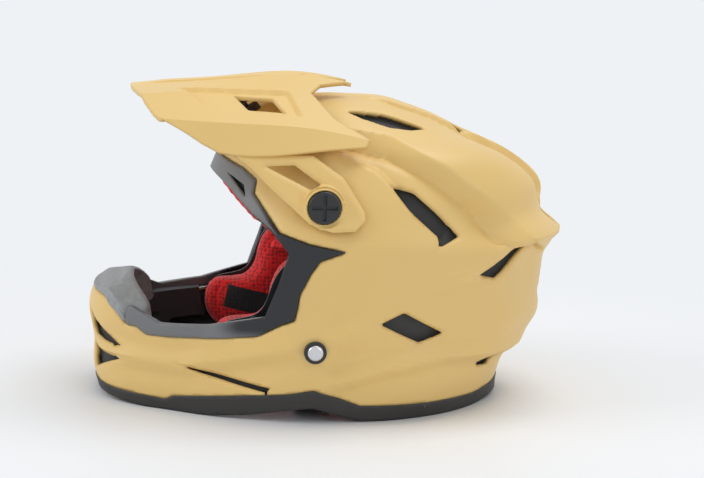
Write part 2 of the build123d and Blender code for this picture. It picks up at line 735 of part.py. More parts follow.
def strap_rivets():
    """Domed rivets that hold the chin strap, with their inner tails."""
    dome = cylinder_along_x(
        rivet_dome_radius, rivet_face, rivet_face + rivet_dome_height, rivet_setback, rivet_height
    )
    dome = fillet(dome.edges().group_by(Axis.X)[-1], rivet_dome_height * dome_round_share)
    tail = strap_line - strap_thickness / 2 - seat_gap
    shank = cylinder_along_x(
        rivet_shank_radius, tail - rivet_tail_height / 2, rivet_face, rivet_setback, rivet_height
    )
    disc = cylinder_along_x(
        rivet_tail_radius, tail - rivet_tail_height, tail, rivet_setback, rivet_height
    )
    return both(dome + shank + disc)


def rivet_rings():
    """Black rings between the rivets' domes and the shell."""
    ring = cylinder_along_x(rivet_ring_radius, overrun, rivet_face, rivet_setback, rivet_height)
    ring -= cylinder_along_x(
        rivet_shank_radius + seat_gap, 0, 2 * half_width, rivet_setback, rivet_height
    )
    return plain_solids(both(ring) - skin(-seat_gap))


def anchor_plates():
    """Steel plates that spread the strap's pull over the shell."""
    start = strap_line + strap_thickness / 2 + seat_gap
    plate = block(
        start, start + anchor_thickness,
        rivet_setback - anchor_half_width, rivet_setback + anchor_half_width,
        rivet_height - anchor_half_height, rivet_height + anchor_half_height
    )
    plate -= cylinder_along_x(
        rivet_shank_radius + seat_gap, 0, 2 * half_width, rivet_setback, rivet_height
    )
    return both(plate)


def strap_run(end):
    """The left webbing from its rivet down behind the cheek pad to a place on the floor."""
    corners = [
        (strap_line, strap_top), (strap_line, strap_knee), (strap_elbow_out, strap_elbow_up),
        (strap_landing, strap_floor), (end, strap_floor),
    ]
    points = [Vector(x, rivet_setback, z) for x, z in corners]
    path = FilletPolyline(*points, radius=strap_bend)
    start = Plane(origin=points[0], x_dir=(0, 1, 0), z_dir=(0, 0, -1))
    run = Part() + sweep(start * Rectangle(strap_width, strap_thickness), path=path)
    return run - cylinder_along_x(
        rivet_shank_radius + seat_gap, 0, half_width, rivet_setback, rivet_height
    )


def strap_left():
    """The short webbing, sewn round the bars of both rings."""
    hollow = ring_wire + ring_play
    middle = strap_loop - ring_pitch / 2
    spot = Plane(
        origin=(middle, rivet_setback - strap_width / 2, strap_floor), x_dir=(1, 0, 0), z_dir=(0, 1, 0)
    )
    sleeve = extrude(spot * SlotCenterToCenter(ring_pitch, 2 * (hollow + loop_wall)), strap_width)
    room = extrude(spot * SlotCenterToCenter(ring_pitch, 2 * hollow), strap_width)
    return largest((strap_run(strap_loop + hollow + loop_wall / 2) + sleeve) - room)


def strap_right():
    """The long webbing that threads through the rings."""
    return strap_run(-strap_tail).mirror(Plane.YZ)


def d_ring(bar_place, half_span, reach):
    """A wire ring with a straight bar and a rounded bow."""
    corners = [
        (bar_place, -half_span), (bar_place, half_span), (bar_place - reach, half_span),
        (bar_place - reach, -half_span),
    ]
    points = [Vector(x, rivet_setback + y, strap_floor) for x, y in corners]
    radii = [ring_corner, ring_corner, ring_round, ring_round]
    path = FilletPolyline(*points, radius=radii, close=True)
    spot = Plane(origin=(bar_place, rivet_setback, strap_floor), z_dir=(0, 1, 0))
    return Part() + sweep(spot * Circle(ring_wire), path=path)


def strap_stud():
    """The press stud that stows the strap's free end."""
    stud = Cylinder(stud_radius, stud_height, align=(Align.CENTER, Align.CENTER, Align.MIN))
    return Pos(stud_place, rivet_setback, strap_floor + strap_thickness / 2) * stud


def write(name, shape):
    """Saves one node's solids."""
    export_step(shape, f"parts/{name}.step")


def main():
    write("outer_shell", outer_shell(skin(0.0), skin(shell_wall)))
    for name, screen in vent_screens().items():
        write(name, screen)
    write("crown_foam", crown_foam())
    write("chin_bar_foam", chin_bar_foam())
    write("eyeport_trim", eyeport_trim())
    write("mouth_pad", mouth_pad())
    write("bottom_edge_trim", bottom_edge_trim())
    pad = cheek_pad()
    write("cheek_pad_left", pad)
    write("cheek_pad_right", pad.mirror(Plane.YZ))
    write("cheek_pad_plates", cheek_plates())
    write("cheek_pad_snaps", cheek_snaps())
    write("crown_liner", crown_liner())
    write("brow_pad", brow_pad())
    write("neck_roll", neck_roll())
    write("visor", visor())
    screw = side_screw()
    write("visor_screw_left", screw)
    write("visor_screw_right", screw.mirror(Plane.YZ))
    write("visor_screw_centre", centre_screw())
    write("visor_screw_inserts", screw_inserts())
    write("visor_washers", visor_washers())
    write("strap_rivets", strap_rivets())
    write("rivet_rings", rivet_rings())
    write("strap_anchor_plates", anchor_plates())
    write("chin_strap_left", strap_left())
    write("chin_strap_right", strap_right())
    write("d_ring_inner", d_ring(strap_loop - ring_pitch, inner_ring_half_width, inner_ring_reach))
    write("d_ring_outer", d_ring(strap_loop, outer_ring_half_width, outer_ring_reach))
    write("strap_stud", strap_stud())


if __name__ == "__main__":
    main()
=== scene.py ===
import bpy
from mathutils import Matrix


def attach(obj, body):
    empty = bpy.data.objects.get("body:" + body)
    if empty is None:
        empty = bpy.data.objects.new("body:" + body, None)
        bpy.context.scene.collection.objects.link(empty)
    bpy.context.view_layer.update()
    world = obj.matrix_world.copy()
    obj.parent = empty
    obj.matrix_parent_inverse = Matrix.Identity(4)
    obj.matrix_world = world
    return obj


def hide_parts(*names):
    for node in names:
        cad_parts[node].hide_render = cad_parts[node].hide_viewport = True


bl_info = {
    "name": "Downhill helmet",
    "version": (1, 0, 0),
    "blender": (4, 5, 0),
    "location": "3D View > Sidebar > Helmet",
    "description": "Dresses a full face downhill helmet with its shell, visor, trims and red lining",
    "category": "Object",
}

import bmesh
import bpy
import numpy as np
from bpy.props import FloatProperty, FloatVectorProperty, PointerProperty
from mathutils import Matrix, Vector

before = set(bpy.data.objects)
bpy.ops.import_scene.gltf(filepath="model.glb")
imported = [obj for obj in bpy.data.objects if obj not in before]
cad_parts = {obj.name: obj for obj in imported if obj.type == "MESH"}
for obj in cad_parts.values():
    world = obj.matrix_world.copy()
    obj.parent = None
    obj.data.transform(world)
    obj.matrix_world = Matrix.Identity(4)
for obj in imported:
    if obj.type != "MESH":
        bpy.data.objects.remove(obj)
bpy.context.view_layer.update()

MM = 0.001
FULL_TURN = (0.0, 2 * np.pi)
FAR_AWAY = 0.05
STUFFING_FRAMES = 20

# Shell: heights in thousandths of the crown height. At each height, reaches from the chin's
# front round to the rear every 15 degrees, in hundredths of the plain oval.
SHELL_ROWS = [
    (-87, (95, 95, 86, 84, 86, 90, 90, 87, 81, 76, 73, 74, 75)),
    (0, (95, 95, 86, 84, 86, 90, 90, 87, 81, 76, 73, 74, 75)),
    (87, (98, 97, 89, 86, 89, 94, 95, 92, 87, 80, 77, 76, 76)),
    (175, (98, 97, 89, 87, 90, 96, 98, 96, 91, 84, 82, 82, 83)),
    (262, (100, 98, 91, 88, 91, 97, 100, 99, 94, 89, 88, 89, 92)),
    (349, (98, 97, 89, 88, 91, 97, 100, 99, 95, 90, 89, 90, 93)),
    (437, (89, 87, 83, 86, 91, 98, 100, 99, 96, 93, 91, 91, 94)),
    (498, (78, 77, 76, 82, 90, 97, 100, 99, 96, 94, 94, 94, 96)),
    (563, (65, 65, 69, 76, 86, 95, 98, 99, 96, 95, 98, 99, 100)),
    (624, (59, 59, 63, 70, 80, 91, 93, 95, 92, 90, 91, 92, 92)),
    (690, (53, 54, 58, 66, 74, 83, 88, 90, 89, 88, 89, 90, 91)),
    (755, (49, 50, 54, 61, 68, 77, 83, 84, 84, 85, 86, 87, 87)),
    (830, (45, 46, 49, 55, 62, 69, 75, 76, 76, 76, 76, 74, 73)),
    (886, (40, 41, 43, 47, 54, 61, 65, 64, 60, 58, 57, 56, 56)),
    (934, (32, 33, 35, 38, 42, 47, 50, 49, 45, 43, 42, 42, 43)),
    (969, (23, 23, 24, 27, 30, 34, 36, 35, 32, 31, 29, 29, 30)),
    (991, (11, 11, 12, 13, 14, 16, 17, 17, 16, 16, 17, 18, 19)),
    (1000, (0, 0, 0, 0, 0, 0, 0, 0, 0, 0, 0, 0, 0)),
]

# Outlines and lines are in thousandths. Seen from the side they are shares of the half length
# along Y and of the crown height up, seen from the top or an end also of the half width.
CHIN_LINE_SHARES = [
    (-765, 240), (-803, 264), (-850, 264), (-889, 303), (-920, 338), (-960, 350), (-1110, 352),
]
PORT_SHARES = [
    (-380, 775), (-330, 745), (-340, 705), (-305, 665), (-245, 600), (-125, 570), (15, 550), (-90, 520),
    (-125, 480), (-165, 415), (-175, 360), (-185, 330), (-235, 315), (-325, 275), (-480, 256), (-675, 242),
    *CHIN_LINE_SHARES, (-1110, 810), (-510, 810),
]
PORT_INNER_SHARES = [
    (-525, 760), (-430, 710), (-345, 640), (-275, 600), (-210, 540), (-250, 440), (-300, 335), (-520, 295),
    (-710, 285), (-830, 330), (-1110, 395), (-1110, 770),
]
TRIM_HOLE_SHARES = [(-440, 755), (-375, 725), (-370, 690)]
SKIRT_LOW_SHARES = [
    (-1055, 35), (-905, 15), (-760, 0), (-555, 0), (-370, 15), (-200, 40), (-100, 50), (80, 5), (190, 0),
    (585, 0), (715, 15), (1055, 50),
]
SKIRT_TOP_SHARES = [
    (-1055, 60), (-905, 45), (-680, 35), (-650, 50), (-375, 80), (-200, 95), (-100, 110), (90, 55),
    (355, 50), (595, 45), (720, 60), (1055, 85),
]

# Vents by the name of their screens: the way they are seen and their outlines
VENT_SHARES = {
    "arrow_vent_screens": ("side", [(190, 755), (290, 735), (475, 600), (385, 562), (375, 600), (260, 680)]),
    "diamond_vent_screens": ("side", [(155, 325), (250, 360), (425, 285), (320, 260)]),
    "rear_side_vent_screens": ("side", [(570, 465), (650, 445), (830, 520), (770, 530), (665, 490)]),
    "lower_vent_screens": ("side", [(585, 144), (705, 180), (670, 134)]),
    "chin_slit_screens": ("side", [(-640, 161), (-272, 108), (-285, 93), (-420, 115), (-560, 139)]),
    "top_vent_screens": ("top", [(420, 40), (375, 190), (395, 375), (475, 300), (500, 210), (475, 100)]),
    "dorsal_vent_screens": ("top", [(50, 475), (115, 545), (40, 575)]),
    "tail_vent_screens": ("rear", [(75, 660), (15, 585), (195, 580)]),
    "rear_vent_screen": ("rear", [(-170, 360), (170, 360), (105, 320), (-105, 320)]),
    "chin_vent_screens": (
        "front", [(112, 280), (122, 203), (462, 187)], [(145, 164), (475, 148), (175, 83)],
    ),
}

# Creases of the shell, seen from the side, and the rivet that they leave clear
UPPER_CREASE_SHARES = [(-60, 915), (205, 890), (430, 795), (615, 690), (790, 572)]
TEMPLE_CREASE_SHARES = [(40, 825), (130, 790), (195, 740), (280, 655), (400, 580)]
TAIL_CREASE_SHARES = [(1020, 568), (870, 572), (770, 560), (570, 480), (300, 440)]
BELT_CREASE_SHARES = [(-990, 165), (-620, 160), (-280, 225), (-20, 275), (150, 325)]
LOWER_CREASE_SHARES = [(-100, 115), (160, 180), (430, 215), (760, 190), (1000, 205)]
RAIL_SHARES = [(-560, 235), (-330, 262), (-160, 300), (20, 345)]
RIVET_PLACE = (-18.0 * MM, 54.0 * MM)

# Mouth guard, pads and head hollow
MOUTH_GUARD_SHARES = [
    *CHIN_LINE_SHARES, (-1110, 356), (-960, 356), (-928, 369), (-870, 380), (-850, 393), (-825, 400),
    (-809, 382), (-781, 358), (-745, 325), (-727, 250),
]
GUARD_TOP_SHARES = [(0, 402), (165, 392), (330, 372), (400, 356), (450, 337), (512, 302)]
CHEEK_SHARES = [
    (-490, 165), (-482, 290), (-330, 330), (-265, 430), (-200, 500), (-110, 515), (35, 470), (65, 260),
    (20, 130), (-110, 95), (-330, 105),
]
CHEEK_POCKET_SHARES = [
    (-510, 100), (-510, 375), (-365, 435), (-285, 515), (-110, 532), (50, 485), (85, 260), (40, 100),
]
BROW_SHARES = [
    (-555, 760), (-465, 700), (-355, 615), (-275, 565), (-235, 595), (-310, 655), (-400, 735), (-465, 790),
    (-555, 800),
]
GUARD_HALF_WIDTH = 62.0 * MM
BORE_HALF_WIDTH = 91.0 * MM
BORE_HALF_LENGTH = 113.0 * MM
BORE_SETBACK = 16.0 * MM
BORE_SPRING = 118.0 * MM
BORE_RISE = 79.0 * MM
BORE_POWER = 2.3
CHEEK_BACK = 89.6 * MM
CHEEK_THICKNESS = 28.0 * MM
NECK_PLACES = [(89.7, 5.4), (89.7, 30.7), (41.5, 101.1), (-41.5, 101.1), (-89.7, 30.7), (-89.7, 5.4)]
NECK_LIFT = 15.2 * MM
FOAM_FLOOR = 27.0 * MM
FOAM_FRONT = -45.0 * MM
FOAM_BROW = 150.0 * MM
LINER_FLOOR = 121.5 * MM
LINER_GROOVE = 26.0 * MM
STRAP_CHANNEL = 14.0 * MM
STRAP_CHANNEL_TOP = 80.0 * MM
STRAP_CHANNEL_INSIDE = 95.0 * MM

# Visor: each row holds its place along the half length, the heights of the ridge, the fin line
# and the panel in thousandths of the top, and then the crease and the lip as width and height
VISOR_TOP = 239.0 * MM
VISOR_ACROSS = (0, 164, 410)
VISOR_ROWS = [
    (-845, 971, 969, 954, 656, 891, 690, 858),
    (-725, 979, 979, 962, 664, 895, 725, 838),
    (-555, 987, 990, 971, 705, 891, 775, 814),
    (-390, 996, 1004, 967, 721, 887, 812, 797),
    (-220, 1000, 1017, 967, 730, 883, 815, 803),
    (-55, 996, 1013, 954, 735, 870, 800, 818),
    (140, 975, 985, 929, 746, 841, 765, 830),
]
VISOR_PLAN_SHARES = [
    (0, -838), (180, -830), (330, -808), (480, -778), (600, -745), (660, -720), (760, -555), (840, -390),
    (840, 60), (740, 115), (600, -20), (370, -105), (260, -60), (150, 78), (60, -120), (0, -150),
]
VISOR_HOLE_SHARES = [(400, -420), (545, -365), (565, -215), (430, -260)]
VISOR_RECESS_SHARES = [(330, -640), (530, -540), (615, -400), (610, -160), (385, -200)]
ARM_SHARES = [
    (-430, 835), (-360, 795), (-290, 740), (-215, 690), (-135, 635), (-45, 610), (45, 615), (85, 645),
    (85, 670), (5, 770), (-115, 835),
]
ARM_SLOT_SHARES = [(-300, 800), (-190, 805), (-90, 750), (-130, 735)]
PIVOT = (-14.0 * MM, 157.0 * MM)
ARM_STAND_OFF = 114.5 * MM
ARM_LEAN_SHARE = 0.48
ARM_WALL = 3.2 * MM
BOSS_RADIUS = 13.0 * MM
SINK_RADIUS = 11.8 * MM
BOSS_TOP = 118.5 * MM
SINK_FLOOR = 115.7 * MM

# Chin strap
STRAP_WIDTH = 24.0 * MM
STRAP_THICKNESS = 2.0 * MM
STRAP_SETBACK = -18.0 * MM
STRAP_FLOOR = 3.3 * MM
STRAP_CORNERS = [(111.0, 66.0), (111.0, 44.0), (100.0, 14.0), (86.0, 3.3)]
STRAP_BEND = 9.0 * MM
RING_BARS = (30.0 * MM, 35.0 * MM)
RING_HOLLOW = 2.1 * MM
LOOP_WALL = 1.0 * MM

# Moulded finishes by a word of the material's name: colour, roughness, cloud, spread, grain,
# then the bump's strength and depth in millimetres, and the shader's other constants
MOULDED = {
    "sand": ("paint", 0.46, 14.0, 0.05, 900.0, 0.10, 0.15, {"Coat Weight": 0.12, "Coat Roughness": 0.35}),
    "guard": ((0.30, 0.31, 0.315), 0.50, 160.0, 0.7, 210.0, 0.8, 0.9, {}),
    "trim": ((0.17, 0.173, 0.18), 0.45, 30.0, 0.3, 700.0, 0.4, 0.25, {}),
    "rubber": ("rubber", 0.58, 30.0, 0.25, 900.0, 0.5, 0.25, {}),
    "plastic": ((0.016, 0.016, 0.018), 0.34, 60.0, 0.3, 1500.0, 0.15, 0.1, {}),
    "steel": ((0.62, 0.62, 0.64), 0.24, 90.0, 0.08, 2500.0, 0.08, 0.05, {"Metallic": 1.0}),
    "brass": ((0.78, 0.56, 0.26), 0.30, 90.0, 0.08, 2500.0, 0.08, 0.05, {"Metallic": 1.0}),
    "table": ((0.90, 0.91, 0.925), 0.55, 3.0, 0.01, 200.0, 0.05, 0.1, {}),
}
# Finishes of open cells: yarn, pit, cells, opening, roughness, bump strength and depth, sheen. The pit
# colour, darker than the yarn, is painted shade in the cells' hollows
CELLS = {
    "mesh": ((0.030, 0.030, 0.032), (0.002, 0.002, 0.002), 520.0, 0.42, 0.55, 0.9, 0.5, 0.0),
    "foam": ((0.022, 0.022, 0.024), (0.008, 0.008, 0.009), 330.0, 0.30, 0.82, 0.5, 0.6, 0.0),
}
# Painted shade: the lining's pits take this share of the yarn's red
PIT_SHADE_SHARE = 0.42
# The carried-over pieces and their materials
FITTINGS = {
    "crown_foam": "black_foam", "chin_bar_foam": "black_foam", "cheek_pad_plates": "plate_plastic",
    "cheek_pad_snaps": "snap_plastic", "visor_screw_left": "screw_plastic",
    "visor_screw_right": "screw_plastic", "visor_screw_centre": "screw_plastic",
    "visor_screw_inserts": "insert_brass", "visor_washers": "washer_rubber",
    "strap_rivets": "rivet_steel", "rivet_rings": "ring_plastic", "strap_anchor_plates": "plate_steel",
    "d_ring_inner": "ring_steel", "d_ring_outer": "ring_steel", "strap_stud": "stud_plastic",
}
BACKGROUND = (0.86, 0.885, 0.915)
# Camera: azimuth, elevation and roll in degrees, the place that it aims at and its distance
CAMERA_TURNS = (83.8, 9.3, -1.7)
CAMERA_AIM = (0.0, 0.004, 0.1156)
CAMERA_DISTANCE = 1.295
LAMP_AIM = (0.0, 0.0, 0.11)
# Lamps: place, size and power
LAMPS = {
    "key": ((0.25, -1.5, 1.0), 0.9, 7.8),
    "top": ((-0.15, 0.45, 1.7), 0.8, 9.8),
    "fill": ((1.5, 1.1, 0.8), 1.0, 4.2),
}


def panel_length(name, about, default):
    """A length of the panel."""
    return FloatProperty(name=name, description=about, default=default, unit="LENGTH", subtype="DISTANCE")


def panel_colour(name, about, default):
    """A colour of the panel, as scene-linear values."""
    return FloatVectorProperty(
        name=name, description=about, default=default, subtype="COLOR", min=0.0, max=1.0
    )


class HelmetSizes(bpy.types.PropertyGroup):
    """Sizes that drive the dressed pieces."""

    crown_height: panel_length("Crown height", "Height of the shell's crown over the table", 0.229)
    half_width: panel_length("Half width", "Half of the plain oval's width", 0.122)
    half_length: panel_length("Half length", "Half of the plain oval's length", 0.1805)
    shell_wall: panel_length("Shell wall", "Thickness of the painted shell", 0.0038)


class HelmetColours(bpy.types.PropertyGroup):
    """Colours of the finishes."""

    paint: panel_colour("Paint", "Matte sand paint of the shell and the visor", (0.78, 0.530, 0.185))
    lining: panel_colour("Lining", "Red mesh fabric of the lining", (0.95, 0.012, 0.014))
    rubber: panel_colour("Rubber", "Dark grey rubber of the trims", (0.031, 0.029, 0.028))


def sizes():
    """The sizes that the panel shows."""
    return bpy.context.scene.helmet_sizes


def colours():
    """The colours that the panel shows."""
    return bpy.context.scene.helmet_colours


def smooth_step(low, high, values):
    """0 below low, 1 above high and an S-shaped rise between them."""
    t = np.clip((values - low) / (high - low), 0.0, 1.0)
    return t * t * (3.0 - 2.0 * t)


def spline_controls(values, closed):
    """Control points of the uniform cubic B-spline that passes through values along axis 0."""
    count = len(values)
    weights = 4.0 * np.eye(count) + np.eye(count, k=1) + np.eye(count, k=-1)
    if closed:
        weights[0, -1] = weights[-1, 0] = 1.0
        controls = np.linalg.solve(weights / 6.0, values)
        return np.concatenate([controls[-1:], controls, controls[:2]])
    weights[0] = 6.0 * np.eye(count)[0]
    weights[-1] = 6.0 * np.eye(count)[-1]
    controls = np.linalg.solve(weights / 6.0, values)
    return np.concatenate([2 * controls[:1] - controls[1:2], controls, 2 * controls[-1:] - controls[-2:-1]])


def spline_weights(t):
    """The four cubic B-spline weights at a share t of a span, on a last axis."""
    return np.stack(
        [(1 - t) ** 3, 3 * t**3 - 6 * t**2 + 4, -3 * t**3 + 3 * t**2 + 3 * t + 1, t**3], -1
    ) / 6.0


def on_spline(controls, where, closed=False):
    """The spline's value at places counted in table entries."""
    count = len(controls) - 3
    where = np.mod(where, count) if closed else np.clip(where, 0, count)
    first = np.clip(np.floor(where).astype(int), 0, count - 1)
    picked = controls[first[..., None] + np.arange(4)]
    weights = spline_weights(where - first)
    extra = (1,) * (picked.ndim - weights.ndim)
    return (picked * weights.reshape(weights.shape + extra)).sum(where.ndim)


def row_heights():
    """The heights of the shell table's rows."""
    return np.array([level for level, _ in SHELL_ROWS]) / 1000.0 * sizes().crown_height


def run_lengths(line):
    """The way gone along a line at each of its points."""
    return np.concatenate([[0.0], np.cumsum(np.linalg.norm(np.diff(line, axis=0), axis=1))])


class ShellForm:
    """The shell's smooth skin as a function of turn and rise.

    The table's reaches go round each level on a closed spline and up the levels on an
    open one. A point lies at reach times the oval's radius, in the direction of turn.
    Rise is the share of the way up the side, measured along the skin.
    """

    def __init__(self):
        reaches = np.array([row for _, row in SHELL_ROWS]) / 100.0
        around = np.concatenate([reaches, reaches[:, -2:0:-1]], 1)
        self.reach = spline_controls(spline_controls(around.T, True).T, False)
        self.height = spline_controls(row_heights(), False)
        self.levels = np.linspace(0.0, len(reaches) - 1.0, 600)
        way = run_lengths(self.at_level(np.full_like(self.levels, np.radians(115.0)), self.levels))
        self.rises = way / way[-1]

    def at_level(self, turn, level):
        """Points of the smooth skin at turns in radians and levels in table rows."""
        column = np.mod(turn, 2 * np.pi) / (2 * np.pi) * 24.0
        rows = len(self.reach) - 3
        level = np.clip(level, 0, rows)
        first_row = np.clip(np.floor(level).astype(int), 0, rows - 1)
        first_column = np.clip(np.floor(column).astype(int), 0, 23)
        up = spline_weights(level - first_row)
        round_about = spline_weights(column - first_column)
        picked = self.reach[
            first_row[..., None, None] + np.arange(4)[:, None], first_column[..., None, None] + np.arange(4)
        ]
        reach = np.einsum("...ij,...i,...j->...", picked, up, round_about)
        oval = np.hypot(sizes().half_width * np.sin(turn), sizes().half_length * np.cos(turn))
        height = on_spline(self.height, level)
        return np.stack([reach * oval * np.sin(turn), -reach * oval * np.cos(turn), height], -1)

    def smooth(self, turn, rise):
        """Points of the smooth skin at turns in radians and rises from 0 to 1."""
        return self.at_level(turn, np.interp(rise, self.rises, self.levels))

    def outward(self, turn, rise):
        """Unit normals of the smooth skin, from central differences along turn and rise."""
        step = 0.004
        rise = np.clip(rise, step, 1.0 - 2.5 * step)
        along = self.smooth(turn + step, rise) - self.smooth(turn - step, rise)
        up = self.smooth(turn, rise + step) - self.smooth(turn, rise - step)
        normal = np.cross(along, up)
        return normal / np.maximum(np.linalg.norm(normal, axis=-1, keepdims=True), 1e-12)

    def skin(self, turn, rise, lift=0.0):
        """The sculpted skin: the smooth skin moved along its normal by the relief and lift."""
        base = self.smooth(turn, rise)
        move = relief(base) + lift
        return base + self.outward(turn, rise) * move[..., None]


def scaled(outline_shares, across, up):
    """An outline's thousandths as lengths."""
    return np.array(outline_shares) / 1000.0 * (across, up)


def side_line(line_shares):
    """A side view's thousandths as places along Y and Z."""
    return scaled(line_shares, sizes().half_length, sizes().crown_height)


def line_field(a, b, line):
    """Signed distance to an open line, positive on its left, and the share of the way along it."""
    best = np.full(a.shape, 1e9)
    side = np.ones(a.shape)
    along = np.zeros(a.shape)
    lengths = np.linalg.norm(np.diff(line, axis=0), axis=1)
    total = lengths.sum()
    done = 0.0
    for start, end, length in zip(line[:-1], line[1:], lengths):
        run = (end - start) / length
        t = (a - start[0]) * run[0] + (b - start[1]) * run[1]
        cross = run[0] * (b - start[1]) - run[1] * (a - start[0])
        inside = np.clip(t, 0.0, length)
        gap = np.hypot(cross, t - inside)
        nearer = gap < best
        best = np.where(nearer, gap, best)
        side = np.where(nearer, np.sign(cross), side)
        along = np.where(nearer, (done + inside) / total, along)
        done += length
    return best * np.where(side == 0, 1.0, side), along


def outline_field(a, b, outline):
    """Signed distance to a closed outline, negative inside it."""
    best = np.full(a.shape, 1e9)
    inside = np.zeros(a.shape, bool)
    for start, end in zip(outline, np.roll(outline, -1, 0)):
        run = end - start
        t = np.clip(((a - start[0]) * run[0] + (b - start[1]) * run[1]) / (run @ run), 0.0, 1.0)
        best = np.minimum(best, np.hypot(a - start[0] - t * run[0], b - start[1] - t * run[1]))
        between = (start[1] > b) != (end[1] > b)
        rise = end[1] - start[1]
        crossing = start[0] + (b - start[1]) * run[0] / (rise if abs(rise) > 1e-12 else 1e-12)
        inside ^= between & (a < crossing)
    return np.where(inside, -best, best)


def vent_field(points, view, outline_shares):
    """Signed distance to a vent, seen along its own axis and on its own side of the helmet."""
    x, y, z = np.abs(points[..., 0]), points[..., 1], points[..., 2]
    size = sizes()
    if view == "side":
        field = outline_field(y, z, scaled(outline_shares, size.half_length, size.crown_height))
        wrong = (x < 0.3 * size.half_width) | ((np.abs(y) < 0.06) & (x < 0.7 * size.half_width))
    elif view == "top":
        field = outline_field(x, y, scaled(outline_shares, size.half_width, size.half_length))
        wrong = z < 0.6 * size.crown_height
    else:
        field = outline_field(x, z, scaled(outline_shares, size.half_width, size.crown_height))
        wrong = (y if view == "rear" else -y) < 0.5 * size.half_length
    return np.where(wrong, FAR_AWAY, field)


def all_vents_field(points):
    """Signed distance to the nearest vent."""
    return np.minimum.reduce([
        vent_field(points, view, outline) for view, *outlines in VENT_SHARES.values() for outline in outlines
    ])


def port_field(points, outline_shares=PORT_SHARES):
    """Signed distance to the eyeport seen from the side, negative inside it."""
    return outline_field(points[..., 1], points[..., 2], side_line(outline_shares))


def skirt_field(points, line_shares):
    """Signed distance to a line round the bottom, positive above it."""
    return line_field(points[..., 1], points[..., 2], side_line(line_shares))[0]


def crease(gap, high, low, above, below, width):
    """A crease's section: a ridge that fades where gap is negative, a fall over width and a hollow.

    The ridge's height, the hollow's depth and the lengths that they fade over are in millimetres.
    """
    ridge = high * MM * np.exp(-np.maximum(-gap, 0) / (above * MM))
    fall = high * MM - (high * MM + low * MM) * np.clip(gap / width, 0, 1)
    hollow = -low * MM * np.exp(-np.maximum(gap - width, 0) / (below * MM))
    return np.where(gap > width, hollow, np.where(gap > 0, fall, ridge))


def relief(points):
    """How far the sculpted skin stands out from the smooth one.

    Each crease is a ridge that fades above it and a hollow that opens below it. The spine
    is a flat band with a valley on each side, and every opening's edge rolls inwards.
    """
    x, y, z = np.abs(points[..., 0]), points[..., 1], points[..., 2]
    flank = smooth_step(0.030, 0.060, x)

    gap, along = line_field(y, z, side_line(UPPER_CREASE_SHARES))
    ends = smooth_step(0.0, 0.10, along) * (1 - 0.4 * smooth_step(0.9, 1.0, along))
    total = flank * ends * crease(-gap, 1.5, 10.0, 16, 15, (6.0 + 8.0 * along) * MM)
    total = total * smooth_step(0.02, 0.0, y - 0.158)

    gap, along = line_field(y, z, side_line(TEMPLE_CREASE_SHARES))
    ends = smooth_step(0.0, 0.15, along) * (1 - smooth_step(0.97, 1.0, along))
    total = total + flank * ends * crease(gap, 2.2, 3.3, 14, 12, 5 * MM)

    gap, along = line_field(y, z, side_line(TAIL_CREASE_SHARES))
    ends = 1 - smooth_step(0.75, 1.0, along)
    total = total + ends * smooth_step(0.02, 0.05, y) * crease(gap, 1.8, 2.7, 9, 14, 7 * MM)

    for line, rise in ((BELT_CREASE_SHARES, 2.9), (LOWER_CREASE_SHARES, 3.4), (RAIL_SHARES, 1.5)):
        gap, along = line_field(y, z, side_line(line))
        ends = smooth_step(0.0, 0.1, along) * (1 - smooth_step(0.85, 1.0, along))
        gap = np.abs(gap)
        ridge = np.clip(1 - gap / (10 * MM), 0, 1) - 0.55 * np.exp(-((gap - 12 * MM) ** 2) / (8 * MM) ** 2)
        total = total + rise * MM * ends * ridge * smooth_step(0.01, 0.03, x)

    total = total * smooth_step(9 * MM, 17 * MM, np.hypot(y - RIVET_PLACE[0], z - RIVET_PLACE[1]))
    band = 15.5 * MM
    ridge = 1.6 * MM * (1 - smooth_step(band - 1.5 * MM, band, x))
    valley = -1.8 * MM * smooth_step(band - 0.5 * MM, band + 1.0 * MM, x)
    valley = valley * np.exp(-np.maximum(x - band, 0) / (9 * MM))
    total = total + smooth_step(0.01, 0.05, y) * smooth_step(0.125, 0.16, z) * (ridge + valley)
    hollow = smooth_step(8 * MM, 13 * MM, x) * (1 - smooth_step(14 * MM, 44 * MM, x))
    total = total - 9.0 * MM * hollow * smooth_step(0.085, 0.130, y) * smooth_step(0.150, 0.163, z)
    edge = np.minimum(all_vents_field(points), np.abs(port_field(points)) + 0.5 * MM)
    return total - 1.3 * MM * (1 - np.clip(edge / (2.6 * MM), 0, 1)) ** 2


def mesh_object(name, points, faces, crease_angle=32.0):
    """A mesh object at the origin with smooth faces, and sharp edges past an angle in degrees."""
    mesh = bpy.data.meshes.new(name)
    mesh.from_pydata(points.reshape(-1, 3).tolist(), [], faces)
    mesh.validate()
    joined = bmesh.new()
    joined.from_mesh(mesh)
    bmesh.ops.remove_doubles(joined, verts=joined.verts, dist=0.02 * MM)
    joined.to_mesh(mesh)
    joined.free()
    mesh.update()
    mesh.shade_smooth()
    if crease_angle:
        mesh.set_sharp_from_angle(angle=np.radians(crease_angle))
    obj = bpy.data.objects.new(name, mesh)
    bpy.context.scene.collection.objects.link(obj)
    return obj


def grid_corners(rows, columns, close_rows=False, close_columns=False):
    """The corners of each cell of a grid of points, closed round either way where asked."""
    index = np.arange(rows * columns).reshape(rows, columns)
    if close_rows:
        index = np.concatenate([index, index[:1]], 0)
    if close_columns:
        index = np.concatenate([index, index[:, :1]], 1)
    return np.stack([index[:-1, :-1], index[1:, :-1], index[1:, 1:], index[:-1, 1:]], -1).reshape(-1, 4)


def ring_faces(points):
    """Quads of a stack of closed rings of points."""
    return grid_corners(*points.shape[:2], close_columns=True).tolist()


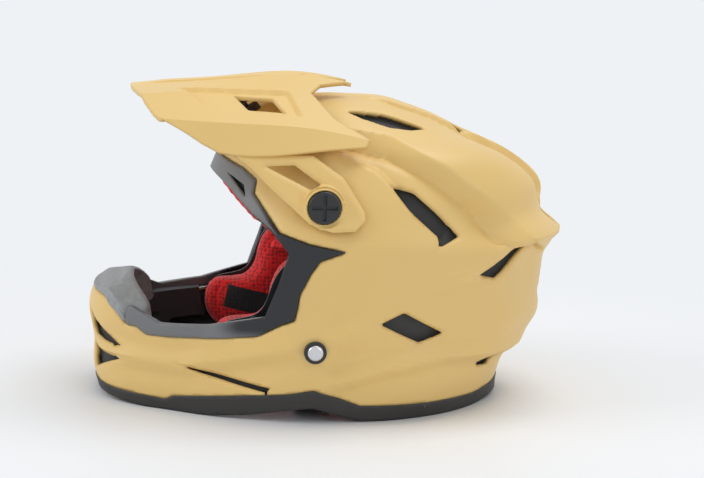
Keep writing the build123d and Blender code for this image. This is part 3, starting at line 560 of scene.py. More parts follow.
def cut_sheet(place, field, shape, closed=False):
    """Points and faces of the part of a surface where a field is positive.

    place(u, v) gives points and field(u, v) a signed distance, with u and v counted in
    grid cells. Grid points under half a cell from the zero line slide onto it, and a
    cell that the line crosses corner to corner keeps one triangle.
    """
    rows, columns = shape
    u0, v0 = np.meshgrid(np.arange(rows, dtype=float), np.arange(columns, dtype=float), indexing="ij")
    u, v = u0.copy(), v0.copy()
    step = 0.05
    for _ in range(3):
        here = field(u, v)
        slope_u = (field(np.minimum(u + step, rows - 1), v) - field(np.maximum(u - step, 0), v)) / (2 * step)
        slope_v = (field(u, v + step) - field(u, v - step)) / (2 * step)
        steep = np.maximum(slope_u**2 + slope_v**2, 1e-14)
        new_u, new_v = u - here * slope_u / steep, v - here * slope_v / steep
        near = (np.abs(new_u - u0) <= 0.52) & (np.abs(new_v - v0) <= 0.52)
        near &= (new_u >= 0) & (new_u <= rows - 1)
        if not closed:
            near &= (new_v >= 0) & (new_v <= columns - 1)
        u, v = np.where(near, new_u, u), np.where(near, new_v, v)
    here = field(u, v)
    side = np.where(np.abs(here) < 0.12 * MM, 0, np.sign(here)).astype(int)
    points = place(u, v)
    corners = grid_corners(rows, columns, close_columns=closed)
    sides = side.reshape(-1)[corners]
    cells = (slice(-1), slice(None if closed else -1))
    centre = field((u0[cells] + 0.5).reshape(-1), (v0[cells] + 0.5).reshape(-1))
    whole = (sides.min(1) >= 0) & ((sides.sum(1) > 2) | (centre > 0))
    faces = corners[whole].tolist()
    part = ~whole & (sides.max(1) > 0)
    cut, cut_sides = corners[part], sides[part]
    along_first = (cut_sides[:, 0] == 0) & (cut_sides[:, 2] == 0)
    for pick in ((0, 1, 2), (0, 2, 3), (1, 2, 3), (1, 3, 0)):
        use = along_first if 0 in pick and 2 in pick else ~along_first
        tri, tri_sides = cut[:, pick][use], cut_sides[:, pick][use]
        good = (tri_sides.min(1) >= 0) & (tri_sides.max(1) > 0)
        faces += tri[good].tolist()
    used = np.unique(np.concatenate([np.ravel(f) for f in faces])) if faces else np.zeros(0, int)
    renumber = np.full(rows * columns, -1)
    renumber[used] = np.arange(len(used))
    faces = [[int(renumber[i]) for i in face] for face in faces]
    return points.reshape(-1, 3)[used], faces


def face_outwards(obj, centre):
    """Turns all faces round if most of them point towards the centre."""
    mesh = obj.data
    middles, normals = np.zeros((2, len(mesh.polygons) * 3))
    mesh.polygons.foreach_get("center", middles)
    mesh.polygons.foreach_get("normal", normals)
    outward = ((middles.reshape(-1, 3) - centre) * normals.reshape(-1, 3)).sum(1)
    if np.median(outward) < 0:
        mesh.flip_normals()


def recalculate(obj):
    """Turns a closed shape's faces outwards."""
    mesh = bmesh.new()
    mesh.from_mesh(obj.data)
    bmesh.ops.recalc_face_normals(mesh, faces=mesh.faces)
    mesh.to_mesh(obj.data)
    mesh.free()


def thicken(obj, wall, inner_slot=0):
    """Gives a sheet its wall, whose inner face takes the slot's material."""
    wall_modifier = obj.modifiers.new("wall", "SOLIDIFY")
    wall_modifier.thickness = wall
    wall_modifier.offset = -1.0
    wall_modifier.material_offset = inner_slot


def apply_modifiers(obj):
    """Bakes an object's modifiers into its mesh."""
    bpy.context.view_layer.update()
    evaluated = obj.evaluated_get(bpy.context.evaluated_depsgraph_get())
    mesh = bpy.data.meshes.new_from_object(evaluated)
    old = obj.data
    obj.modifiers.clear()
    obj.data = mesh
    mesh.name = old.name
    bpy.data.meshes.remove(old)


def mesh_points(mesh):
    """A mesh's points as an array."""
    points = np.zeros(len(mesh.vertices) * 3)
    mesh.vertices.foreach_get("co", points)
    return points.reshape(-1, 3)


def set_points(mesh, points):
    """Puts an array back as the mesh's points."""
    mesh.vertices.foreach_set("co", points.reshape(-1))
    mesh.update()


def place_piece(obj, material, body, slot, *nodes):
    """Gives a finished piece its material and its body, and hides the nodes that it stands for; its slot is
    not used.
    """
    obj.data.materials.append(material)
    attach(obj, body)
    if nodes:
        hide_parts(*nodes)


def place_pad(obj, fabric, fill, *nodes, patch=False):
    """Gives a finished, stuffed piece the red lining's material and its body, and hides the nodes that it
    stands for.
    """
    material = lining_material(fabric, patch)
    place_piece(obj, material, "helmet", "red_fabric", *nodes)


def shell_sheet(name, keep, turns, rises, shape, lift=0.0, closed=False):
    """A piece of the sculpted skin where keep is positive, as a mesh object."""
    form = ShellForm()
    rows, columns = shape

    def to_form(u, v):
        turn = turns[0] + (turns[1] - turns[0]) * v / columns
        return turn, rises[0] + (rises[1] - rises[0]) * u / (rows - 1)

    def place(u, v):
        return form.skin(*to_form(u, v), lift)

    def field(u, v):
        return keep(form.smooth(*to_form(u, v)))

    obj = mesh_object(name, *cut_sheet(place, field, shape, closed))
    face_outwards(obj, np.array([0.0, 0.0, 0.45 * sizes().crown_height]))
    return obj


def build_shell():
    """The painted shell: the sculpted skin without its eyeport, vents and skirt."""

    def keep(points):
        fields = [all_vents_field(points), port_field(points), skirt_field(points, SKIRT_TOP_SHARES)]
        return np.minimum.reduce(fields)

    obj = shell_sheet("painted_shell", keep, FULL_TURN, (0.0, 1.0), (150, 424), closed=True)
    thicken(obj, sizes().shell_wall, inner_slot=1)
    place_piece(obj, moulded_material("sand_paint"), "helmet", "shell_paint", "outer_shell")
    obj.data.materials.append(cell_material("black_foam"))


def build_screens():
    """The black mesh behind each kind of vent, on the skin moved in by the wall."""
    lap = 3.5 * MM
    lift = -sizes().shell_wall - 0.5 * MM
    for name, (view, *outlines) in VENT_SHARES.items():

        def keep(points, view=view, outlines=outlines):
            return lap - np.minimum.reduce([vent_field(points, view, outline) for outline in outlines])

        piece = name.replace("screen", "mesh")
        obj = shell_sheet(piece, keep, FULL_TURN, (0.0, 1.0), (132, 372), lift, closed=True)
        thicken(obj, 0.8 * MM)
        place_piece(obj, cell_material("vent_mesh"), "helmet", "vent_mesh", name)


def build_trims():
    """The eyeport's lip and the edging round the bottom, on the skin moved out a little."""
    proud = 0.8 * MM

    def lip(points):
        hole = port_field(points, TRIM_HOLE_SHARES)
        guard = np.abs(points[..., 0]) - GUARD_HALF_WIDTH - 0.8 * MM
        guard = np.where((points[..., 1] < -0.08) & (points[..., 2] <= 0.13), guard, FAR_AWAY)
        return np.minimum.reduce([-port_field(points), port_field(points, PORT_INNER_SHARES), hole, guard])

    turns = (np.radians(-112), np.radians(112))
    obj = shell_sheet("eyeport_lip", lip, turns, (0.2, 0.85), (170, 420), proud)
    thicken(obj, 5.5 * MM)
    place_piece(obj, trim_material(), "helmet", "black_rubber", "eyeport_trim")

    def edging(points):
        low = skirt_field(points, SKIRT_LOW_SHARES)
        return np.minimum(low, -skirt_field(points, SKIRT_TOP_SHARES))

    obj = shell_sheet("bottom_edging", edging, FULL_TURN, (0.0, 0.22), (40, 420), proud, closed=True)
    thicken(obj, 6.5 * MM)
    place_piece(obj, moulded_material("edging_rubber"), "helmet", "black_rubber", "bottom_edge_trim")


def mirrored(points, faces):
    """A shape with its mirror image across the helmet's middle."""
    points = points.reshape(-1, 3)
    count = len(points)
    flipped = [[i + count for i in reversed(face)] for face in faces]
    return np.concatenate([points, points * (-1, 1, 1)]), list(faces) + flipped


def rounded_outline(outline, radius, count):
    """A closed outline stepped evenly round, its corners softened by a running mean of a radius."""
    closed = np.concatenate([outline, outline[:1]])
    lengths = run_lengths(closed)
    fine = 8 * count
    at = np.arange(fine) / fine * lengths[-1]
    line = np.stack([np.interp(at, lengths, closed[:, k]) for k in (0, 1)], -1)
    reach = max(1, int(radius / lengths[-1] * fine))
    weights = np.ones(2 * reach + 1) / (2 * reach + 1)
    padded = np.concatenate([line[-reach:], line, line[:reach]])
    smooth = np.stack([np.convolve(padded[:, k], weights, "valid") for k in (0, 1)], -1)
    return smooth[::8]


def unit(vector):
    """A vector's direction."""
    return vector / np.linalg.norm(vector)


def straight_run(start, end, step, last=False):
    """Points a step apart on a straight run, with its end where asked."""
    count = max(1, int(np.ceil(np.linalg.norm(end - start) / step)))
    return start + (end - start) * np.linspace(0, 1, count + last, endpoint=last)[:, None]


def filleted(corners, radius, step):
    """Points a step apart along straight runs that are joined by arcs of a radius."""
    corners = np.asarray(corners, float)
    pieces = []
    here = corners[0]
    for before, corner, after in zip(corners[:-2], corners[1:-1], corners[2:]):
        back, onward = unit(before - corner), unit(after - corner)
        half = 0.5 * np.arccos(np.clip(back @ onward, -1.0, 1.0))
        start = corner + back * radius / np.tan(half)
        end = corner + onward * radius / np.tan(half)
        centre = corner + unit(back + onward) * radius / np.sin(half)
        turn = np.pi - 2 * half
        pieces.append(straight_run(here, start, step))
        t = np.linspace(0, 1, max(3, int(np.ceil(radius * turn / step))), endpoint=False)[:, None]
        swing = np.sin((1 - t) * turn) * (start - centre) + np.sin(t * turn) * (end - centre)
        pieces.append(centre + swing / np.sin(turn))
        here = end
    pieces.append(straight_run(here, corners[-1], step, last=True))
    return np.concatenate(pieces)


def bore_point(turn, climb, inset):
    """The head-shaped hollow: an oval that closes upwards as a superellipse, climb 0 to 1."""
    power = 2.0 / BORE_POWER
    close = np.cos(climb * np.pi / 2) ** power
    lift = np.sin(climb * np.pi / 2) ** power
    x = (BORE_HALF_WIDTH - inset) * close * np.sin(turn)
    y = BORE_SETBACK - (BORE_HALF_LENGTH - inset) * close * np.cos(turn)
    return np.stack([x, y, BORE_SPRING + (BORE_RISE - inset) * lift], -1)


def bore_sheet(name, keep, inset, wall):
    """A padded layer on the head-shaped hollow where keep is positive, with its thickness."""
    rows, columns = shape = (60, 240)

    def place(u, v):
        climb = np.clip(u / (rows - 1), 0.0, 1.0) * 0.992
        return bore_point(2 * np.pi * v / columns, climb, inset)

    obj = mesh_object(name, *cut_sheet(place, lambda u, v: keep(place(u, v)), shape, closed=True), 0)
    face_outwards(obj, np.array([0.0, BORE_SETBACK, 0.5 * BORE_SPRING]))
    thicken(obj, wall)
    apply_modifiers(obj)
    return obj


def swell(obj, cap, pressure=2.0):
    """Stuffs a pad: an even remesh, then cloth blown up from inside, with no point moved past cap."""
    remesh = obj.modifiers.new("even", "REMESH")
    remesh.mode = "VOXEL"
    remesh.voxel_size = 4.0 * MM
    apply_modifiers(obj)
    before = mesh_points(obj.data)
    cloth = obj.modifiers.new("stuffing", "CLOTH")
    settings = cloth.settings
    settings.quality = 5
    settings.use_pressure = True
    settings.uniform_pressure_force = pressure
    settings.tension_stiffness = settings.compression_stiffness = 20.0
    settings.bending_stiffness = 1.0
    settings.effector_weights.gravity = 0.0
    cloth.point_cache.frame_start, cloth.point_cache.frame_end = 1, STUFFING_FRAMES
    for number in range(1, STUFFING_FRAMES + 1):
        bpy.context.scene.frame_set(number)
    evaluated = obj.evaluated_get(bpy.context.evaluated_depsgraph_get())
    move = mesh_points(evaluated.data) - before
    length = np.maximum(np.linalg.norm(move, axis=1, keepdims=True), 1e-9)
    obj.modifiers.clear()
    set_points(obj.data, before + move * np.minimum(1.0, cap / length))
    bpy.context.scene.frame_set(1)
    finish = obj.modifiers.new("finish", "SUBSURF")
    finish.levels = finish.render_levels = 1
    obj.data.shade_smooth()


def build_mouth_guard():
    """The raised guard: its side outline cut by an arch that falls to each side, kept on the skin."""
    half = GUARD_HALF_WIDTH
    outline = rounded_outline(side_line(MOUTH_GUARD_SHARES), 2.5 * MM, 96)
    x = half * np.sin(np.linspace(-np.pi / 2, np.pi / 2, 110))
    arch = scaled(GUARD_TOP_SHARES, sizes().half_width, sizes().crown_height)
    top_line = np.interp(np.abs(x), *arch.T)[:, None]
    y, z = np.broadcast_to(outline.T[:, None], (2, len(x), len(outline)))
    soft = 1.2 * MM
    z = z - soft * np.log1p(np.exp(np.clip((z - top_line) / soft, -30, 30)))
    points = np.stack([np.broadcast_to(x[:, None], z.shape), y, z], -1)
    heights = row_heights()
    level = np.interp(z, np.sort(heights), np.arange(len(heights)))
    turn = np.arctan2(points[..., 0], -points[..., 1])
    limit = np.linalg.norm(ShellForm().at_level(turn, level)[..., :2], axis=-1)
    reach = np.linalg.norm(points[..., :2], axis=-1)
    kept = np.clip(reach, limit - 24.0 * MM, limit + 0.8 * MM)
    points[..., :2] *= (kept / reach)[..., None]
    draw = np.clip(1 - (np.abs(x) / half) ** 14, 0, 1)[:, None, None] ** (1 / 4)
    middle = points.mean(1, keepdims=True)
    points = middle + (points - middle) * draw
    obj = mesh_object("mouth_guard", points, ring_faces(points), 40)
    face_outwards(obj, np.array([0.0, points[..., 1].mean(), points[..., 2].mean()]))
    place_piece(obj, moulded_material("guard_rubber"), "helmet", "black_rubber", "mouth_pad")


def cheek_points(side):
    """A cheek cushion: the pad's outline drawn in towards the face, with both faces crowned."""
    outline = side_line(CHEEK_SHARES)
    middle = outline.mean(0)
    ring_at = np.linspace(0, len(outline), 96, endpoint=False)
    ring = on_spline(spline_controls(outline, True), ring_at, closed=True) - middle
    t = np.linspace(0.0, 1.0, 34)
    stations = (0, 0.28, 0.36, 0.5, 0.66, 0.78, 0.9, 1)
    spread = np.interp(t, stations, (0, 0.93, 0.97, 0.99, 0.97, 0.86, 0.62, 0))
    depth = np.interp(t, stations, (0, 0, 0.06, 0.3, 0.62, 0.82, 0.94, 1))
    flat = middle + ring[None] * spread[:, None, None]
    x = CHEEK_BACK - 0.8 * MM - depth * (CHEEK_THICKNESS - 2.5 * MM)
    x = np.broadcast_to(x[:, None], flat.shape[:2])
    points = np.stack([side * x, flat[..., 0], flat[..., 1]], -1)
    return points, middle, ring


def build_cheeks():
    """The two cheek cushions, stuffed, with a sewn channel round the inner face, and their plates."""
    sheets = []
    for side, word in ((1.0, "left"), (-1.0, "right")):
        points, middle, ring = cheek_points(side)
        obj = mesh_object(f"cheek_cushion_{word}", points, ring_faces(points), 0)
        face_outwards(obj, points.reshape(-1, 3).mean(0))
        swell(obj, 3.0 * MM, 4.0)
        place = mesh_points(obj.data)
        seam = outline_field(place[:, 1], place[:, 2], middle + 0.80 * ring[::4])
        inner = smooth_step(78 * MM, 72 * MM, np.abs(place[:, 0]))
        place[:, 0] += side * 1.8 * MM * inner * np.exp(-((seam / (3.0 * MM)) ** 2))
        set_points(obj.data, place)
        place_pad(obj, "cheek_fabric", 0.8, f"cheek_pad_{word}", patch=True)
        y, z = np.broadcast_to((middle + 0.955 * ring).T[:, None], (2, 2, len(ring)))
        x = side * np.array([[CHEEK_BACK - 0.4 * MM], [CHEEK_BACK + 1.1 * MM]])
        sheets.append(np.stack([np.broadcast_to(x, y.shape), y, z], -1))
    count = sheets[0].shape[1]
    faces = ring_faces(sheets[0]) + [list(range(count)), list(range(count, 2 * count))]
    faces += [[number + 2 * count for number in face] for face in faces]
    plates = mesh_object("cheek_plate_pair", np.concatenate(sheets), faces)
    recalculate(plates)
    place_piece(plates, moulded_material("plate_plastic"), "helmet", "black_plastic", "cheek_pad_plates")


def build_lining():
    """The crown's fabric and its pads, and the brow cushion, on the head-shaped hollow."""

    def fabric(points):
        line = side_line([(-285, 520), *BROW_SHARES[4:8], (-600, 810)])
        behind_brow = -line_field(points[..., 1], points[..., 2], line)[0]
        return np.minimum(behind_brow - 1.0 * MM, points[..., 2] - LINER_FLOOR)

    obj = bore_sheet("crown_fabric", fabric, 0.8 * MM, 1.6 * MM)
    obj.data.shade_smooth()
    place_piece(obj, lining_material("crown_mesh"), "helmet", "red_fabric", "crown_liner")

    def pads(points):
        x, y = np.abs(points[..., 0]), points[..., 1] - BORE_SETBACK
        beside = np.abs(x - LINER_GROOVE) - 3.5 * MM
        across = np.where(x < LINER_GROOVE, FAR_AWAY, np.abs(y + 0.35 * x) - 3.5 * MM)
        return np.minimum.reduce([fabric(points) - 3.0 * MM, beside, across])

    obj = bore_sheet("crown_pads", pads, 2.8 * MM, 4.6 * MM)
    swell(obj, 1.2 * MM)
    place_pad(obj, "crown_pad_fabric", 0.6)

    def brow(points):
        return -port_field(points, BROW_SHARES) - 1.0 * MM

    obj = bore_sheet("brow_cushion", brow, 1.3 * MM, 6.5 * MM)
    swell(obj, 1.2 * MM)
    place_pad(obj, "brow_fabric", 0.7, "brow_pad")


def bore_below(points, side_gap):
    """Points drawn in to the head-shaped hollow, but no further than side_gap beside the pads."""
    x, y, z = points[..., 0], points[..., 1] - BORE_SETBACK, points[..., 2]
    flat = np.hypot(x / BORE_HALF_WIDTH, y / BORE_HALF_LENGTH)
    rise = np.clip((z - BORE_SPRING) / BORE_RISE, 0.0, None)
    share = (flat**BORE_POWER + rise**BORE_POWER) ** (-1.0 / BORE_POWER)
    share = np.minimum(share, 0.985)
    height = np.where(rise > 0, BORE_SPRING + rise * BORE_RISE * share, z)
    inner = np.stack([x * share, y * share + BORE_SETBACK, height], -1)
    pocket = port_field(inner, CHEEK_POCKET_SHARES) < 0
    wide = np.clip(np.abs(inner[..., 0]), side_gap, np.maximum(np.abs(x) - 2 * MM, side_gap))
    inner[..., 0] = np.where(pocket, np.sign(x) * wide, inner[..., 0])
    return inner


def build_foam():
    """The crown's foam: the sculpted skin moved in, joined round its rim to the head-shaped hollow."""

    def keep(points):
        y, z = points[..., 1], points[..., 2]
        return np.minimum.reduce([
            z - FOAM_FLOOR, np.maximum(y - FOAM_FRONT, z - FOAM_BROW),
            port_field(points, PORT_INNER_SHARES) - 1.0 * MM,
        ])

    gap = -sizes().shell_wall - 1.8 * MM
    obj = shell_sheet("crown_foam_block", keep, FULL_TURN, (0.0, 1.0), (80, 220), gap, closed=True)
    outer = mesh_points(obj.data)
    beside_strap = (np.abs(outer[:, 1] - STRAP_SETBACK) < STRAP_CHANNEL) & (outer[:, 2] < STRAP_CHANNEL_TOP)
    slim = np.where(beside_strap, STRAP_CHANNEL_INSIDE, 1.0)
    outer[:, 0] = np.clip(outer[:, 0], -slim, slim)
    inner = bore_below(outer, CHEEK_BACK + 0.6 * MM)
    count = len(outer)
    faces = [list(face.vertices) for face in obj.data.polygons]
    edges = np.array([(a, b) for face in faces for a, b in zip(face, face[1:] + face[:1])])
    ordered = np.sort(edges, 1)
    _, first, times = np.unique(ordered[:, 0] * count + ordered[:, 1], return_index=True, return_counts=True)
    rim = edges[first[times == 1]]
    walls = np.stack([rim[:, 1], rim[:, 0], rim[:, 0] + count, rim[:, 1] + count], -1)
    lining = [[number + count for number in reversed(face)] for face in faces]
    bpy.data.objects.remove(obj)
    faces += lining + walls.tolist()
    block = mesh_object("crown_foam_block", np.concatenate([outer, inner]), faces)
    place_piece(block, cell_material("black_foam"), "helmet", "black_foam", "crown_foam")


def build_neck():
    """The neck cushion: an oval profile carried round the nape, drawn to rounded ends."""
    corners = np.array([(x * MM, y * MM, NECK_LIFT) for x, y in NECK_PLACES])
    path = filleted(corners, 30 * MM, 4 * MM)
    around = np.linspace(0, 2 * np.pi, 32, endpoint=False)
    profile = np.stack([9.5 * MM * 0.93 * np.cos(around), 11.5 * MM * 0.93 * np.sin(around)], -1)
    along = np.linspace(-1, 1, len(path))
    ring = profile[None] * np.sqrt(np.clip(1 - np.abs(along) ** 24, 0, 1))[:, None, None]
    up = np.array([0.0, 0.0, 1.0])
    tangent = np.gradient(path, axis=0)
    side = np.cross(up, tangent / np.linalg.norm(tangent, axis=1, keepdims=True))
    points = path[:, None] + ring[..., 0:1] * side[:, None] + ring[..., 1:2] * up
    obj = mesh_object("neck_cushion", points, ring_faces(points), 0)
    face_outwards(obj, np.array([0.0, 0.03, NECK_LIFT]))
    swell(obj, 0.9 * MM)
    place_pad(obj, "neck_fabric", 0.8, "neck_roll")


def visor_marks(row):
    """The visor's marks at rows of its table, on a spline from front to rear."""
    rows = np.array(VISOR_ROWS) / 1000.0
    marks = np.insert(rows[:, 1:], range(3), np.array(VISOR_ACROSS) / 1000.0, axis=1)
    marks = on_spline(spline_controls(marks, False), row).reshape(row.shape + (5, 2))
    y = on_spline(spline_controls(rows[:, 0], False), row) * sizes().half_length
    return y, marks * (sizes().half_width, VISOR_TOP)


def visor_place(row, across):
    """A point of the visor's roof: straight between marks across, splined from front to rear."""
    y, marks = visor_marks(row)
    step = np.clip(np.floor(np.abs(across)).astype(int), 0, 3)
    share = np.abs(across) - step
    near = np.take_along_axis(marks, step[..., None, None], -2)[..., 0, :]
    far = np.take_along_axis(marks, step[..., None, None] + 1, -2)[..., 0, :]
    point = near * (1 - share[..., None]) + far * share[..., None]
    x = point[..., 0]
    recess = outline_field(x, y, scaled(VISOR_RECESS_SHARES, sizes().half_width, sizes().half_length))
    lift = -3.2 * MM * smooth_step(1.5 * MM, -1.5 * MM, recess)
    lift = lift + 1.6 * MM * smooth_step(9.5 * MM, 8.0 * MM, x) * smooth_step(-0.150, -0.120, y)
    return np.stack([x * np.where(across < 0, -1.0, 1.0), y, point[..., 1] + lift], -1)


def build_visor():
    """The visor's roof with its creases, recesses, air holes and twin fins, and its two arms."""
    shape = (150, 193)

    def place(u, v):
        return visor_place(u / (shape[0] - 1) * (len(VISOR_ROWS) - 1), v / (shape[1] - 1) * 8.0 - 4.0)

    plan = scaled(VISOR_PLAN_SHARES, sizes().half_width, sizes().half_length)
    whole = np.concatenate([plan, plan[-2:0:-1] * (-1, 1)])
    hole = scaled(VISOR_HOLE_SHARES, sizes().half_width, sizes().half_length)

    def keep(u, v):
        points = place(u, v)
        x, y = np.abs(points[..., 0]), points[..., 1]
        return np.minimum(-outline_field(x, y, whole), outline_field(x, y, hole))

    roof = mesh_object("visor_roof", *cut_sheet(place, keep, shape), 24)
    face_outwards(roof, np.array([0.0, -0.06, 0.15]))
    thicken(roof, 3.0 * MM)
    place_piece(roof, moulded_material("sand_paint"), "visor", "visor_paint", "visor")
    shape = (120, 140)
    y_range = (-0.45 * sizes().half_length, 0.11 * sizes().half_length)
    z_range = (0.59 * sizes().crown_height, 0.86 * sizes().crown_height)
    outline, slot = side_line(ARM_SHARES), side_line(ARM_SLOT_SHARES)

    def arm(u, v):
        y = y_range[0] + (y_range[1] - y_range[0]) * u / (shape[0] - 1)
        z = z_range[0] + (z_range[1] - z_range[0]) * v / (shape[1] - 1)
        edge = np.minimum(-outline_field(y, z, outline), outline_field(y, z, slot))
        return y, z, edge, np.hypot(y - PIVOT[0], z - PIVOT[1])

    def arm_keep(u, v):
        _, _, edge, centre = arm(u, v)
        return np.minimum(edge, centre - 3.3 * MM)

    def arm_place(u, v):
        y, z, edge, centre = arm(u, v)
        x = ARM_STAND_OFF - ARM_LEAN_SHARE * (z - PIVOT[1])
        x = x - 1.6 * MM * (1 - np.clip(edge / (4.0 * MM), 0, 1)) ** 2
        x = x + (BOSS_TOP - x) * smooth_step(BOSS_RADIUS + 2.2 * MM, BOSS_RADIUS, centre)
        sink = smooth_step(SINK_RADIUS + 0.5 * MM, SINK_RADIUS - 0.5 * MM, centre)
        return np.stack([x - (BOSS_TOP - SINK_FLOOR) * sink, y, z], -1)

    arms = mesh_object("visor_arms", *mirrored(*cut_sheet(arm_place, arm_keep, shape)), 30)
    face_outwards(arms, np.array([0.0, -0.02, 0.16]))
    thicken(arms, ARM_WALL)
    place_piece(arms, moulded_material("sand_paint"), "visor", "visor_paint")


def ribbon(name, path, width, wall, *nodes, closed=False):
    """Flat webbing: a thin rounded profile carried along a path, its width along Y."""
    around = np.linspace(0, 2 * np.pi, 28, endpoint=False)
    across = width / 2 * np.sign(np.cos(around)) * np.abs(np.cos(around)) ** 0.16
    thick = wall / 2 * np.sign(np.sin(around)) * np.abs(np.sin(around)) ** 0.5
    side = np.array([0.0, 1.0, 0.0])
    tangent = np.gradient(path, axis=0)
    up = np.cross(tangent / np.linalg.norm(tangent, axis=1, keepdims=True), side)
    up /= np.linalg.norm(up, axis=1, keepdims=True)
    points = path[:, None] + across[:, None] * side + thick[:, None] * up[:, None]
    rows, columns = points.shape[:2]
    faces = grid_corners(rows, columns, close_rows=closed, close_columns=True).tolist()
    if not closed:
        faces += [list(range(columns)), list(range((rows - 1) * columns, rows * columns))]
    obj = mesh_object(name, points, faces, 50)
    recalculate(obj)
    place_piece(obj, webbing_material("strap_webbing"), "helmet", "strap_webbing", *nodes)


def build_strap():
    """The chin strap's webbing, and the sleeve sewn round the rings' bars."""
    for side, end, word in ((1.0, RING_BARS[1] + 2.6 * MM, "left"), (-1.0, 2.0 * MM, "right")):
        corners = [(side * x * MM, STRAP_SETBACK, z * MM) for x, z in STRAP_CORNERS]
        corners.append((side * end, STRAP_SETBACK, STRAP_FLOOR))
        path = filleted(corners, STRAP_BEND, 2.5 * MM)
        ribbon(f"strap_webbing_{word}", path, STRAP_WIDTH, STRAP_THICKNESS, f"chin_strap_{word}")
    reach = RING_HOLLOW + LOOP_WALL / 2
    around = np.linspace(0, 2 * np.pi, 64, endpoint=False)
    ahead = np.cos(around)
    half = (RING_BARS[1] - RING_BARS[0]) / 2 * np.sign(ahead) * smooth_step(0.0, 0.2, np.abs(ahead))
    x = sum(RING_BARS) / 2 + half + reach * ahead
    path = np.stack([x, np.full(64, STRAP_SETBACK), STRAP_FLOOR + reach * np.sin(around)], -1)
    ribbon("strap_sleeve", path, STRAP_WIDTH, LOOP_WALL, closed=True)


def feed(tree, node, inputs):
    """Gives a node's inputs their values, or links from sockets."""
    for key, value in inputs.items():
        if isinstance(value, bpy.types.NodeSocket):
            tree.links.new(value, node.inputs[key])
        else:
            node.inputs[key].default_value = value


def add_node(tree, kind, inputs, output=0, **fields):
    """A shader node with its fields set and its inputs fed, and one of its outputs."""
    node = tree.nodes.new("ShaderNode" + kind)
    for field, value in fields.items():
        setattr(node, field, value)
    feed(tree, node, inputs)
    return node.outputs[output]


def place_on(tree):
    """The place on the piece."""
    return add_node(tree, "TexCoord", {}, "Object")


def add_math(tree, operation, first, second=0.5):
    """A math node on sockets or numbers."""
    return add_node(tree, "Math", {0: first, 1: second}, operation=operation)


def smooth_range(tree, value, low, high, ends=(0.0, 1.0)):
    """Goes smoothly from the first end at low to the second at high."""
    inputs = {"Value": value, "From Min": low, "From Max": high, "To Min": ends[0], "To Max": ends[1]}
    return add_node(tree, "MapRange", inputs, "Result", interpolation_type="SMOOTHSTEP")


def blend_colours(tree, share, first, second):
    """A mix of two colours by share."""
    return add_node(tree, "Mix", {"Factor": share, "A": first, "B": second}, "Result", data_type="RGBA")


def new_group(name, inputs, outputs):
    """A shader node group with named inputs and outputs, whose kinds follow from their values."""
    group = bpy.data.node_groups.new(name, "ShaderNodeTree")
    for direction, sockets in (("INPUT", inputs), ("OUTPUT", outputs)):
        for label, value in sockets.items():
            kind = "NodeSocketColor" if isinstance(value, tuple) else "NodeSocketFloat"
            socket = group.interface.new_socket(label, in_out=direction, socket_type=kind)
            socket.default_value = value
    given = group.nodes.new("NodeGroupInput").outputs
    return group, given, group.nodes.new("NodeGroupOutput")


def moulded_surface():
    """Cloudy tone and fine grain: two noises on the piece's own coordinates."""
    if "moulded_surface" in bpy.data.node_groups:
        return bpy.data.node_groups["moulded_surface"]
    inputs = {"Colour": (0.5, 0.5, 0.5, 1.0), "Cloud": 20.0, "Spread": 0.06, "Grain": 600.0}
    outputs = {"Colour": (0.0, 0.0, 0.0, 1.0), "Height": 0.0, "Roughness shift": 0.0}
    group, given, made = new_group("moulded_surface", inputs, outputs)
    where = place_on(group)
    cloud = add_node(group, "TexNoise", {"Detail": 4.0, "Vector": where, "Scale": given["Cloud"]}, "Fac")
    grain = add_node(group, "TexNoise", {"Detail": 2.0, "Vector": where, "Scale": given["Grain"]}, "Fac")
    shift = add_math(group, "SUBTRACT", cloud, 0.5)
    tone = add_math(group, "ADD", add_math(group, "MULTIPLY", shift, given["Spread"]), 1.0)
    colour = add_node(group, "VectorMath", {0: given["Colour"], "Scale": tone}, operation="SCALE")
    shift = add_math(group, "MULTIPLY", shift, 0.25)
    feed(group, made, {"Colour": colour, "Height": grain, "Roughness shift": shift})
    return group


def cell_cloth():
    """Open cells in a sheet: round pits darkened with painted shade, set among lighter yarn, with their
    height.
    """
    if "cell_cloth" in bpy.data.node_groups:
        return bpy.data.node_groups["cell_cloth"]
    inputs = {"Yarn": (0.5, 0.0, 0.0, 1.0), "Pit shade": (0.1, 0.0, 0.0, 1.0), "Cells": 450.0, "Opening": 0.34}
    group, given, made = new_group("cell_cloth", inputs, {"Colour": (0.0, 0.0, 0.0, 1.0), "Height": 0.0})
    inputs = {"Randomness": 0.35, "Vector": place_on(group), "Scale": given["Cells"]}
    distance = add_node(group, "TexVoronoi", inputs, "Distance")
    low, high = (add_math(group, "MULTIPLY", given["Opening"], share) for share in (0.6, 1.4))
    wall = smooth_range(group, distance, low, high)
    # Painted shade: the colour falls from the yarn to the darker pit colour down in each cell's hollow
    feed(group, made, {"Colour": blend_colours(group, wall, given["Pit shade"], given["Yarn"]), "Height": wall})
    return group


def made_once(build):
    """A material builder that hands back what it has already made under a name."""

    def fetch(name, *rest):
        return bpy.data.materials.get(name) or build(name, *rest)

    return fetch


def new_material(name, constants):
    """A material whose Principled shader holds the given constants."""
    material = bpy.data.materials.new(name)
    material.use_nodes = True
    tree = material.node_tree
    shader = tree.nodes["Principled BSDF"]
    feed(tree, shader, constants)
    return material, tree, shader


def use_group(tree, group, inputs):
    """A group placed in a material with its own values."""
    node = tree.nodes.new("ShaderNodeGroup")
    node.node_tree = group
    feed(tree, node, inputs)
    return node.outputs


def bumped(tree, height, strength, depth):
    """The normal of a surface raised by a height, with its depth in millimetres."""
    return add_node(tree, "Bump", {"Strength": strength, "Distance": depth * MM, "Height": height})


